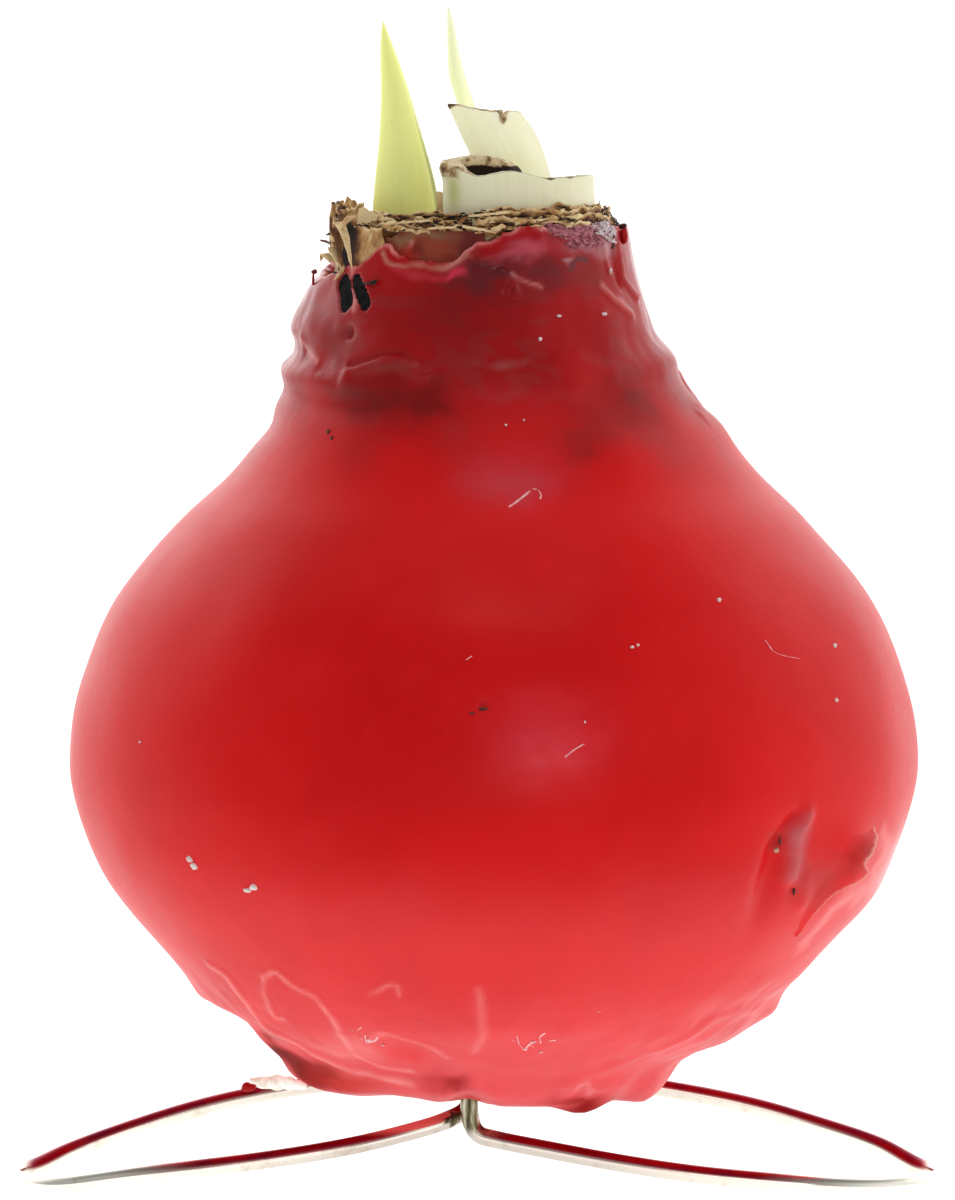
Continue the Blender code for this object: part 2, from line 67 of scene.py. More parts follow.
WAX_OUTLINE = (
    (0, 10.0), (10, 10.2), (16.2, 10.7), (20.2, 12.1), (22.6, 14.8), (27.0, 17.8), (31.6, 21.4),
    (35.7, 25.6), (42.4, 34), (46.0, 43), (46.7, 49), (45.5, 56), (41.5, 65), (34.6, 73.5),
    (28.9, 79), (24.6, 84.6), (22.1, 89), (20.2, 93.5), (18.7, 98), (17.5, 102), (16.8, 106),
)
BULB_OUTLINE = (
    (0, 13.2), (16.0, 13.9), (19.5, 16.4), (29.2, 23.8), (33.8, 27.8), (40.3, 36), (44.2, 45.5),
    (43.9, 54), (39.6, 64.6), (32.8, 72.8), (22.6, 84.2), (19.9, 89), (18.2, 92.8), (16.4, 94.6),
    (15.5, 98), (14.4, 102), (13.9, 104.2),
)
WAX_INSIDE_NECK = ((18.2, 94.6), (17.0, 98), (15.7, 102), (15.3, 104), (15.3, 112))
GAP = 0.3
NECK_TOP = 104.8
RIM_FROM = 94
RIM_TOP = 106
RIM_LEVELS = (
    (-180, 101.2), (-160, 101.0), (-140, 102.3), (-126, 104.7), (-114, 103.3), (-100, 102.9),
    (-88, 105.2), (-70, 106.9), (-50, 105.9), (-20, 106.2), (20, 105.3), (70, 104.7),
    (120, 105.0), (148, 102.2), (158, 101.3), (180, 101.2),
)
WAX_SWELLS = (
    (187, 95.0, 1.2, 7.0, 2.6), (-112, 94.0, 0.5, 6.0, 3.0), (-32, 37.6, 1.5, 4.6, 4.2),
    (-47, 37.8, -1.3, 1.9, 4.4), (-60, 83.5, 0.5, 8.0, 2.2), (0, 19.2, 1.6, 6.5, 1.9),
    (-22, 17.6, 0.8, 4.0, 1.8), (188, 20.6, 0.9, 8.0, 2.0), (62, 41.0, 0.8, 9.0, 6.0),
    (130, 30.0, 0.7, 7.0, 3.0), (95, 92.0, 0.9, 9.0, 2.0),
)
# Runs under the bulb: where they hang, how far down, and their half-widths. At the last two places
# the wax is drawn up instead.
DRIPS = (
    (-16.8, 11.2, 2.9, 3.3, 3.0), (17.2, 10.8, 3.2, 3.2, 3.0), (11.4, -11.0, 1.2, 2.8, 2.4),
    (18.4, -7.2, 1.3, 2.6, 3.4), (-0.8, -8.4, 0.8, 2.8, 2.2), (3.5, 16.2, 1.0, 3.2, 2.6),
    (-8.5, -13, -0.95, 5.5, 9.0), (-0.9, -12, -1.4, 2.0, 9.0),
)
# Places round the neck and foot where the wax stands further out, or in where the amount is below 0:
# angle, height, amount, and half-sizes in degrees and mm
ROUNDS = (
    (182, 93.2, -1.3, 26, 2.4), (182, 101.6, -1.0, 20, 1.2), (-2, 91.2, 0.9, 24, 1.8),
    (-2, 84.2, 0.5, 24, 1.8), (180, 84.4, -0.6, 24, 1.8), (182, 18.6, -1.5, 26, 1.9),
    (2, 17.0, 1.0, 22, 1.5), (0, 32.5, 0.5, 24, 4.0),
)
WIRE_RADIUS = 0.966
WIRE_ROUTE = (
    (-0.4, -7.6, 23), (-0.6, -7.6, 17), (-0.9, -7.6, 11.5), (-0.8, -7.6, 8.6), (0.0, -7.7, 6.8),
    (2.2, -8.0, 6.1), (8, -9.2, 5.1), (16, -10.6, 3.8), (24, -11.2, 2.7), (32, -11.1, 1.9),
    (39, -10.2, 1.3), (44.5, -8.2, WIRE_RADIUS), (48.6, -4.8, WIRE_RADIUS), (51.2, 0, WIRE_RADIUS),
    (50.7, 4.6, WIRE_RADIUS), (48.6, 7.8, 1.3), (44.4, 10.6, 3.2), (38, 12.0, 5.2),
    (31, 12.5, 7.2), (24, 12.4, 8.7), (16, 12.0, 10.0), (8, 11.5, 10.8), (0, 11.2, 11.0),
    (-8, 11.5, 10.8), (-16, 12.0, 10.0), (-24, 12.4, 8.7), (-31, 12.5, 7.1), (-38, 12.0, 5.0),
    (-44.8, 10.6, 2.7), (-48.8, 7.8, 1.2), (-50.8, 4.6, WIRE_RADIUS), (-51.3, 0, WIRE_RADIUS),
    (-49.0, -4.8, WIRE_RADIUS), (-45.2, -8.2, 1.2), (-38, -10.3, 2.4), (-30, -11.1, 3.4),
    (-22, -10.8, 4.4), (-14, -9.6, 5.6), (-7.5, -7.4, 6.9), (-3.2, -5.2, 8.0), (-1.1, -4.1, 9.2),
    (-0.6, -3.9, 11.5), (-0.6, -3.9, 17), (-0.6, -3.9, 23),
)
LEAF_LEFT = (
    (-7.3, -2.4, 100.4, 7.6, 1.9, 1.6), (-7.5, -2.6, 104.6, 7.8, 1.8, 1.7),
    (-7.65, -2.8, 107.9, 7.7, 1.7, 1.8), (-7.9, -2.9, 111.7, 6.6, 1.5, 1.6),
    (-8.2, -3.0, 115.0, 5.3, 1.4, 1.3), (-8.6, -3.1, 118.3, 4.1, 1.2, 1.0),
    (-9.1, -3.2, 121.8, 3.0, 1.1, 0.7), (-9.7, -3.2, 125.0, 1.9, 0.9, 0.4),
    (-10.15, -3.2, 127.4, 0.85, 0.7, 0.2), (-10.3, -3.2, 128.7, 0.14, 0.3, 0.0),
)
LEAF_BACK = (
    (3.4, 5.4, 100.4, 3.0, 1.2, 0.3), (3.0, 5.2, 104.6, 2.9, 1.2, 0.3),
    (1.9, 4.9, 108.5, 2.6, 1.1, 0.3), (0.4, 4.7, 113.0, 2.3, 1.0, 0.3),
    (-1.25, 4.5, 119.0, 1.9, 0.9, 0.3), (-2.2, 4.4, 122.2, 1.8, 0.8, 0.25),
    (-2.65, 4.3, 125.0, 1.3, 0.7, 0.1), (-2.95, 4.2, 128.0, 0.8, 0.5, 0.0),
    (-3.2, 4.1, 130.05, 0.25, 0.3, 0.0),
)
CUT_LEAF_UPPER = (
    (6.3, 0.6, 100.4, 7.2, 1.4, 0.9), (5.9, 0.5, 104.6, 7.3, 1.4, 0.9),
    (5.2, 0.4, 107.8, 7.4, 1.4, 0.9), (4.2, 0.3, 111.0, 7.7, 1.3, 0.8),
    (3.3, 0.2, 113.9, 7.9, 1.3, 0.7), (2.1, 0.1, 116.6, 8.3, 1.2, 0.5),
    (0.75, 0.0, 119.0, 8.0, 1.1, 0.3),
)
CUT_UPPER_EDGE = (0.5, 0.45, 0.3, 0.1, 0.0, -0.1, -0.2, -0.2, -0.3, -0.2, -0.4)
CUT_LOWER_PLAN = (
    (12.2, -1.6), (11.6, -4.6), (9.8, -7.4), (7.0, -9.4), (3.4, -10.6), (0, -10.8), (-2.1, -10.1),
    (-3.0, -8.6), (-2.2, -7.2), (0.2, -6.7), (3.0, -6.9), (4.5, -7.7),
)
CUT_LOWER_TOP = (
    111.3, 112.0, 112.0, 112.0, 112.8, 112.3, 113.6, 113.6, 113.9, 114.4, 113.6, 111.9,
)
DRY_SCALES = {
    "dry_scale_front_left": (-162, -91.2, 108.2, 0.5, 3.1),
    "dry_scale_front_right": (-89.8, -15, 109.0, 0.3, 7.7),
    "dry_scale_right": (-12, 60, 107.9, 0.7, 12.3),
    "dry_scale_back": (63, 147, 107.6, 0.4, 19.9),
}
DRY_SIDE = ((16.22, 98), (15.05, 102), (14.6, 104))
# The torn skins of each dry scale: how far below its top, how far out, how far in at its foot, the
# roll of its edge, and how pale and how shaded it is
DRY_SKINS = (
    (0.0, -0.3, -0.75, 0.20, 0.2, 0.6), (0.55, 0.1, -0.45, 0.26, 0.1, 0.5),
    (1.15, 0.5, -0.15, 0.30, 0.4, 0.9), (1.8, 0.9, 0.0, 0.30, 0.3, 0.5),
    (9.0, 1.15, 0.1, 0.24, 0.0, 0.9),
)
TORN_SIDE = (
    (17.3, 95.2), (16.22, 98), (15.05, 102), (14.55, 104.6), (14.4, 106.8), (14.9, 108.3),
    (15.8, 108.7), (16.5, 107.8), (16.8, 106.0), (17.1, 104.2),
)
# The strips of the torn scale: first and last angle, how far out, how much lower
TORN_STRIPS = (
    (150, 195, 0.0, 0.0), (154, 170, 0.35, 0.5), (172, 184, 0.5, 0.2), (184, 197, -0.35, -0.7),
)
SCRAP = (
    (-25.3, 10.4, 10.5), (-23.6, 10.3, 10.4), (-21.4, 10.2, 10.4), (-19.0, 10.1, 10.0),
)

# Camera

LOOK_AT = Vector((0, 0, 64.9))
DISTANCE = 1600
ELEVATION = 5
FRAME = (955, 1200)
FRAME_HIGH = 132.0


def camera_place():
    turn = math.radians(ELEVATION)
    return LOOK_AT + DISTANCE * Vector((0, -math.cos(turn), math.sin(turn)))


# Numbers


def smooth_step(low, high, value):
    share = np.clip((np.asarray(value, float) - low) / (high - low), 0, 1)
    return share * share * (3 - 2 * share)


def hump(distance, width):
    return np.exp(-((np.asarray(distance, float) / width) ** 2))


def turn_between(angle, other):
    return (np.asarray(angle, float) - other + 180) % 360 - 180


def level_at(table, at):
    """The value that a table of (place, value) rows gives at these places, eased between its rows."""
    at = np.asarray(at, float)
    value = np.full(at.shape, float(table[0][1]))
    for (low, a), (high, b) in zip(table, table[1:]):
        value = np.where(at > low, a + (b - a) * smooth_step(low, high, at), value)
    return value


def spline(points, steps):
    """Points on a smooth curve through the given ones, with this many steps in each span."""
    p = np.array(points, float)
    p = np.vstack([2 * p[0] - p[1], p, 2 * p[-1] - p[-2]])
    t = (np.arange(steps) / steps)[:, None]
    found = []
    for a, b, c, d in zip(p, p[1:], p[2:], p[3:]):
        found.append(
            0.5 * (2 * b + (c - a) * t + (2 * a - 5 * b + 4 * c - d) * t**2
                   + (3 * b - a - 3 * c + d) * t**3)
        )
    return np.vstack([*found, p[-2:-1]])


def noise_at(points, size, seed=0.0):
    """Smooth noise from about -1 to 1 at each point, for lumps of this size in mm."""
    flat = np.asarray(points, float).reshape(-1, 3) / size + (seed, 2 * seed, -seed)
    values = [noise.noise(Vector(p)) for p in flat]
    return np.array(values).reshape(np.asarray(points).shape[:-1])


def axis_shift(height):
    """How far right of the frame's axis the bulb's own one is at this height, in mm."""
    body = 0.5 + 1.3 * smooth_step(12, 26, height)
    return body - 2.1 * smooth_step(80, 95, height)


def round_axis(radius, turn, level):
    """Points at this radius round the bulb's axis, which leans a little from level to level."""
    return np.stack([axis_shift(level) + radius * np.cos(turn), radius * np.sin(turn), level], -1)


def in_line(where, side=0.0):
    """Points in a row, for noise that changes along an edge."""
    return np.stack([where, where * 0 + side, where * 0], -1)


OUTLINE_SIDE = spline(WAX_OUTLINE, 12)[24:]
PIXEL = FRAME_HIGH / FRAME[1]


def outline_radius(height):
    """The radius of the turned outline of the wax, above its widest drips."""
    return np.interp(height, OUTLINE_SIDE[:, 1], OUTLINE_SIDE[:, 0])


def camera_axes():
    ahead = (LOOK_AT - camera_place()).normalized()
    across = Vector((1, 0, 0))
    return ahead, across, across.cross(ahead)


def seen(x, y):
    """The point on the turned outline of the wax that the photograph shows at this pixel."""
    eye = camera_place()
    ahead, across, up = camera_axes()
    aim = LOOK_AT + across * (x - FRAME[0] / 2) * PIXEL + up * (FRAME[1] / 2 - y) * PIXEL
    ray = (aim - eye).normalized()
    reach = np.linspace(DISTANCE - 60, DISTANCE + 10, 700)
    points = np.array(eye) + reach[:, None] * np.array(ray)
    from_axis = np.hypot(points[:, 0] - axis_shift(points[:, 2]), points[:, 1])
    inside = from_axis < outline_radius(points[:, 2])
    if inside.any():
        return points[np.argmax(inside)]
    return points[np.argmin(from_axis - outline_radius(points[:, 2]))]


def pixel_of(point):
    """The pixel of the photograph that this point falls on."""
    away = Vector(point) - camera_place()
    ahead, across, up = camera_axes()
    scale = DISTANCE / away.dot(ahead) / PIXEL
    return FRAME[0] / 2 + away.dot(across) * scale, FRAME[1] / 2 - away.dot(up) * scale


def near_line(points, line):
    """For each point, how far it is from this line."""
    best = np.full(points.shape[:-1], 1e9)
    for a, b in zip(line, line[1:]):
        along = b - a
        share = np.clip(((points - a) @ along) / (along @ along), 0, 1)
        away = points - (a + share[..., None] * along)
        best = np.minimum(best, np.linalg.norm(away, axis=-1))
    return best


# Meshes


def linked(name, data):
    """A new object with this data, in the scene."""
    made = bpy.data.objects.new(name, data)
    bpy.context.scene.collection.objects.link(made)
    return made


def mesh_object(name, points, faces, material, sharp=None, uv=None, attributes=None):
    """A smooth-shaded piece from points in mm. uv and attributes hold a row for each point."""
    data = bpy.data.meshes.new(name)
    data.from_pydata((np.asarray(points, float) * MM).tolist(), [], faces)
    data.validate()
    data.materials.append(material)
    data.shade_smooth()
    if sharp:
        data.set_sharp_from_angle(angle=math.radians(sharp))
    corners = np.zeros(len(data.loops), np.int32)
    data.loops.foreach_get("vertex_index", corners)
    if uv is not None:
        layer = data.uv_layers.new(name="UVMap")
        layer.data.foreach_set("uv", np.asarray(uv, np.float32)[corners].ravel())
    for label, values in (attributes or {}).items():
        values = np.asarray(values, np.float32)
        if values.ndim == 2:
            made = data.color_attributes.new(label, "FLOAT_COLOR", "POINT")
            made.data.foreach_set("color", values.ravel())
        else:
            made = data.attributes.new(label, "FLOAT", "POINT")
            made.data.foreach_set("value", values)
    return linked(name, data)


def grid_faces(rows, columns, closed, start=0):
    """Quads over a grid of points that are numbered row by row."""
    faces = []
    last = columns if closed else columns - 1
    for v in range(rows - 1):
        for u in range(last):
            w = (u + 1) % columns
            faces.append((
                start + v * columns + u, start + v * columns + w,
                start + (v + 1) * columns + w, start + (v + 1) * columns + u,
            ))
    return faces


def tube_faces(rows, columns):
    """Faces over rings of points, with a cap at each end."""
    last = (rows - 1) * columns
    caps = [tuple(range(columns)[::-1]), tuple(range(last, last + columns))]
    return grid_faces(rows, columns, True) + caps


def sheet_object(name, middle, thick, material, attributes=None):
    """A closed sheet round a grid of points through its middle. attributes hold a value or a
    colour for each of those points. A unit of its UV map is UV_SIZE mm."""
    rows, columns = middle.shape[:2]
    out = np.cross(np.gradient(middle, axis=1), np.gradient(middle, axis=0))
    out /= np.linalg.norm(out, axis=-1, keepdims=True) + 1e-9
    half = (np.broadcast_to(thick, (rows, columns)) / 2)[..., None] * out
    points = np.concatenate([(middle + half).reshape(-1, 3), (middle - half).reshape(-1, 3)])
    n = rows * columns
    faces = grid_faces(rows, columns, False)
    faces += [(n + d, n + c, n + b, n + a) for a, b, c, d in grid_faces(rows, columns, False)]
    for v in range(rows - 1):
        a, b = v * columns, (v + 1) * columns
        faces.append((a, b, n + b, n + a))
        a, b = a + columns - 1, b + columns - 1
        faces.append((a, n + a, n + b, b))
    for u in range(columns - 1):
        faces.append((u, n + u, n + u + 1, u + 1))
        a = (rows - 1) * columns + u
        faces.append((a, a + 1, n + a + 1, n + a))
    wide = np.cumsum(np.linalg.norm(np.diff(middle, axis=1, prepend=middle[:, :1]), axis=-1), axis=1)
    tall = np.cumsum(np.linalg.norm(np.diff(middle, axis=0, prepend=middle[:1]), axis=-1), axis=0)
    uv = np.stack([wide, tall], -1).reshape(-1, 2) / UV_SIZE
    both = {}
    for label, values in (attributes or {}).items():
        values = np.asarray(values, float)
        flat = values.reshape(n, -1) if values.shape[:2] == (rows, columns) else values
        flat = flat if flat.shape[-1] == 4 else flat.reshape(-1)
        both[label] = np.concatenate([flat, flat])
    return mesh_object(name, points, faces, material, SHEET_SHARP, np.vstack([uv, uv]), both)


def joined(name, parts):
    """One piece from several that share their material slots."""
    with bpy.context.temp_override(active_object=parts[0], selected_editable_objects=parts):
        bpy.ops.object.join()
    parts[0].name = name
    parts[0].data.name = name
    return parts[0]


def place(piece, slot, *nodes):
    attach(piece, "root")
    if nodes:
        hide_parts(*nodes)
    return piece


# Materials


class Reading:
    """One output socket, so that shader maths reads as Python."""

    def __init__(self, shader, socket):
        self.shader = shader
        self.socket = socket

    def __add__(self, other):
        return self.shader.math("ADD", self, other)

    def __radd__(self, other):
        return self.shader.math("ADD", other, self)

    def __sub__(self, other):
        return self.shader.math("SUBTRACT", self, other)

    def __rsub__(self, other):
        return self.shader.math("SUBTRACT", other, self)

    def __mul__(self, other):
        return self.shader.math("MULTIPLY", self, other)

    def __rmul__(self, other):
        return self.shader.math("MULTIPLY", other, self)

    def between(self, low, high):
        """0 below low, 1 above high, eased between."""
        return self.shader.node(
            "MapRange", {"Value": self, "From Min": low, "From Max": high},
            interpolation_type="SMOOTHSTEP",
        )


class Nodes:
    """A shader node tree that is built up from readings."""

    def __init__(self, tree):
        self.tree = tree

    def node(self, kind, values=None, output=0, stops=None, **settings):
        made = self.tree.nodes.new("ShaderNode" + kind)
        for key, value in settings.items():
            setattr(made, key, value)
        if stops:
            ramp = made.color_ramp.elements
            while len(ramp) < len(stops):
                ramp.new(0.5)
            for element, (at, colour) in zip(ramp, stops):
                element.position = at
                element.color = (*colour, 1)
        for key, value in (values or {}).items():
            self.feed(made.inputs[key], value)
        return Reading(self, made.outputs[output])

    def feed(self, socket, value):
        if isinstance(value, Reading):
            self.tree.links.new(value.socket, socket)
        elif isinstance(value, tuple) and len(value) == 3 and socket.type == "RGBA":
            socket.default_value = (*value, 1)
        else:
            socket.default_value = value

    def math(self, operation, a, b):
        return self.node("Math", {0: a, 1: b}, operation=operation)

    def mix(self, share, a, b):
        return self.node("Mix", {0: share, 6: a, 7: b}, output=2, data_type="RGBA")

    def scaled(self, vector, by):
        return self.node("VectorMath", {0: vector, 1: by}, operation="MULTIPLY")

    def noise(self, vector, scale, detail=3.0, roughness=0.5):
        values = {"Vector": vector, "Scale": scale, "Detail": detail, "Roughness": roughness}
        return self.node("TexNoise", values)

    def place(self):
        return self.node("TexCoord", output="Object")

    def uv(self):
        return self.node("TexCoord", output="UV")

    def attribute(self, label, output="Fac"):
        return self.node("Attribute", output=output, attribute_name=label)

    def ramp(self, share, *stops):
        return self.node("ValToRGB", {"Fac": share}, stops=stops)


class Shader(Nodes):
    """A Principled material."""

    def __init__(self, name, **constants):
        self.material = bpy.data.materials.new(name)
        self.material.use_nodes = True
        super().__init__(self.material.node_tree)
        self.surface = self.tree.nodes["Principled BSDF"]
        for socket in self.surface.inputs:
            label = socket.name.lower().replace(" ", "_")
            if label in constants:
                self.feed(socket, constants[label])

    def set(self, key, value):
        self.feed(self.surface.inputs[key], value)

    def finished(self, colour, roughness, height, deep, strength, glows=False):
        """The material, with a bump of deep mm for a height from 0 to 1."""
        self.set("Base Color", colour)
        if glows:
            self.set("Emission Color", colour)
        self.set("Roughness", roughness)
        values = {"Height": height, "Distance": deep * MM, "Strength": strength}
        self.set("Normal", self.node("Bump", values))
        return self.material


def wax_material():
    s = Shader("red_wax", specular_ior_level=0.13)
    where = s.place()
    broad = s.noise(where, 45, 3)
    patchy = s.noise(where, 160, 4, 0.6)
    fine = s.noise(where, 900, 3, 0.6)
    base = s.mix(broad.between(0.35, 0.65), (0.67, 0.003, 0.004), (0.74, 0.005, 0.006))
    base = s.mix(patchy.between(0.45, 0.75) * 0.25, base, (0.80, 0.014, 0.016))
    base = s.mix(fine.between(0.55, 0.8) * 0.12, base, (0.42, 0.003, 0.004))
    tint = s.attribute("tint", "Color")
    tint = s.mix(patchy.between(0.3, 0.7) * 0.3, tint, s.scaled(tint, (1.35, 1.2, 1.2)))
    base = s.mix(s.attribute("tint", "Alpha"), base, tint)
    roughness = 0.35 - s.attribute("gloss") * 0.19 + (patchy - 0.5) * 0.14 + fine * 0.05
    return s.finished(base, roughness, patchy * 0.5 + fine * 0.25 + broad * 0.5, 0.22, 0.5)


def dry_material():
    s = Shader("dry_scale_skin", specular_ior_level=0.3)
    strands = s.noise(s.scaled(s.uv(), (7.0, 3.0, 1.0)), 3.0, 5, 0.65)
    crumbs = s.noise(s.place(), 800, 4, 0.65)
    blotch = s.noise(s.place(), 260, 3)
    # The edge attribute makes curled top edges paler, partly a painted highlight; the shade attribute
    # makes the skins darker, with painted shade towards their feet and darker blotches
    tone = strands * 0.35 + crumbs * 0.3 + blotch * 0.35 + s.attribute("edge") * 0.13
    tone = tone - s.attribute("shade") * 0.25 + s.attribute("pale") * 0.16 + 0.035
    colour = s.ramp(
        tone, (0.26, (0.014, 0.006, 0.004)), (0.38, (0.095, 0.036, 0.016)),
        (0.48, (0.30, 0.125, 0.042)), (0.59, (0.55, 0.31, 0.115)), (0.74, (0.88, 0.67, 0.36)),
    )
    return s.finished(colour, 0.5 + crumbs * 0.3, strands * 0.6 + crumbs * 0.7, 0.3, 0.9)


def leaf_material(name, foot, middle, tip, fold):
    """A living leaf, whose glow stands for light that shines through it."""
    s = Shader(
        name, subsurface_weight=0.5, subsurface_scale=0.0015, subsurface_radius=(1.0, 1.0, 0.6),
        specular_ior_level=0.3, emission_strength=0.15,
    )
    across, where = (s.node("SeparateXYZ", {"Vector": s.uv()}, output=axis) for axis in "XY")
    veins = s.noise(s.scaled(s.uv(), (26.0, 1.2, 1.0)), 1.6, 3)
    cloud = s.noise(s.place(), 260, 3)
    specks = s.noise(s.place(), 1500, 2)
    colour = s.mix(where.between(0.05, 0.55), foot, middle)
    colour = s.mix(where.between(0.45, 0.95), colour, tip)
    # Painted shade in the fold colour on the rolled right margin, low on the leaf
    colour = s.mix(across.between(0.88, 0.95) * (1 - where.between(0.35, 0.75)), colour, fold)
    colour = s.mix(veins.between(0.45, 0.7) * 0.04, colour, fold)
    colour = s.mix(cloud.between(0.5, 0.75) * 0.12, colour, tip)
    colour = s.mix(specks.between(0.74, 0.82) * 0.5, colour, (0.25, 0.17, 0.06))
    return s.finished(colour, 0.42 + cloud * 0.14, veins * 0.6 + cloud * 0.4, 0.10, 0.5, True)


def cut_leaf_material(name, glow, light, dim):
    """A cut leaf, pale with light and dim streaks, and brown where its edge attribute is high."""
    # Its glow stands for light that shines through the leaf
    s = Shader(
        name, subsurface_weight=0.4, subsurface_scale=0.0015, subsurface_radius=(1.0, 1.0, 0.7),
        specular_ior_level=0.3, emission_strength=glow,
    )
    streaks = s.noise(s.scaled(s.uv(), (9.0, 0.9, 1.0)), 2.2, 4)
    cloud = s.noise(s.place(), 180, 3)
    crumbs = s.noise(s.place(), 900, 4, 0.65)
    colour = s.mix(streaks.between(0.2, 0.85), dim, light)
    colour = s.mix(cloud.between(0.45, 0.75) * 0.25, colour, (0.88, 0.86, 0.56))
    colour = s.mix(s.attribute("green").between(0.0, 1.0), colour, (0.50, 0.52, 0.13))
    dried = (s.attribute("edge") + crumbs * 0.5 - 0.25).between(0.35, 0.75)
    brown = s.ramp(
        crumbs + s.attribute("pale") * 0.14 - s.attribute("shade") * 0.2,
        (0.36, (0.02, 0.009, 0.006)), (0.46, (0.14, 0.07, 0.03)), (0.56, (0.40, 0.26, 0.12)),
        (0.68, (0.72, 0.60, 0.38)),
    )
    colour = s.mix(dried, colour, brown)
    height = streaks * 0.3 + crumbs * dried * 1.6
    return s.finished(colour, 0.45 + dried * 0.35, height, 0.3, 0.7, True)


def flesh_material():
    s = Shader("neck_flesh")
    cloud = s.noise(s.place(), 240, 4, 0.6)
    crumbs = s.noise(s.place(), 900, 4, 0.65)
    colour = s.mix(cloud.between(0.4, 0.65), (0.16, 0.10, 0.05), (0.42, 0.33, 0.17))
    colour = s.mix(crumbs.between(0.5, 0.7), colour, (0.09, 0.045, 0.02))
    return s.finished(colour, 0.6 + crumbs * 0.3, crumbs * 0.8 + cloud * 0.5, 0.5, 0.8)


def wire_material():
    """Bright drawn wire. Its upper side is red with a painted reflection of the bulb over it, and
    where it is dull it is darker, with olive streaks."""
    s = Shader("bright_wire", metallic=1.0)
    drawn = s.noise(s.scaled(s.place(), (60.0, 60.0, 900.0)), 1.0, 3)
    marks = s.noise(s.place(), 300, 4, 0.6)
    colour = s.mix(marks.between(0.5, 0.8), (0.92, 0.89, 0.78), (0.66, 0.60, 0.45))
    film = s.attribute("film")
    dull = s.attribute("dull")
    crimson = s.mix(marks.between(0.4, 0.7), (0.32, 0.013, 0.026), (0.20, 0.008, 0.04))
    # Painted reflection of the red bulb on the wire's upper side
    colour = s.mix(film, colour, crimson)
    streaks = s.noise(s.scaled(s.place(), (1800.0, 1800.0, 220.0)), 1.0, 3)
    dull_streaks = s.ramp(
        streaks, (0.35, (0.05, 0.045, 0.03)), (0.5, (0.24, 0.22, 0.12)),
        (0.68, (0.72, 0.70, 0.56)),
    )
    roughness = 0.07 + marks.between(0.4, 0.8) * 0.08 + film * 0.28 + dull * 0.25
    return s.finished(s.mix(dull, colour, dull_streaks), roughness, drawn * 0.5 + marks, 0.015, 0.5)


def plain_material(name, light, dark, size, rough, shine=0.5, glow=0.0):
    """A two-tone finish for small bits. glow stands for light that shines through thin ones."""
    s = Shader(name, specular_ior_level=shine, emission_strength=glow)
    cloud = s.noise(s.place(), 1 / (size * MM), 4, 0.6)
    colour = s.mix(cloud.between(0.4, 0.65), light, dark)
    return s.finished(colour, rough + cloud * 0.15, cloud, 0.15, 0.7, True)


# Wax

WAX_COLUMNS = 380
DEEP = (0.17, 0.005, 0.005)
VIOLET = (0.13, 0.014, 0.018)
MUTED = (0.26, 0.035, 0.032)
PALE = (0.92, 0.32, 0.30)
ROSE = (0.50, 0.07, 0.10)
GREY = (0.42, 0.13, 0.13)
SLATE = (0.09, 0.05, 0.055)
BLACK = (0.003, 0.004, 0.005)
NECK = (0.30, 0.005, 0.007)

# Levels in mm between which something sets in on the wax, or ends, going up
NECK_GLOSS = (84, 96)
NECK_DARK = (77, 94)
NECK_HAZE = (78, 92)
NECK_LUMPS = (82, 96)
FOOT_LUMPS_END = (18, 30)
DRIPS_END = (14, 22)
LOW_LIGHT_END = (33, 42)
FOOT_LIGHT_END = (13, 29)
# How sharply tints and dull places end, and a place's half-size away from the camera in mm
TINT_EDGE = 1.3
DULL_EDGE = 1.5
PLACE_DEEP = 6
# Distance between the rings of the wax at each height
WAX_SPACING = (
    (9, 1.0), (11, 0.9), (13, 0.5), (27, 0.5), (30, 0.6), (43, 0.6), (50, 1.25), (84, 1.1),
    (91, 0.32), (106, 0.30),
)

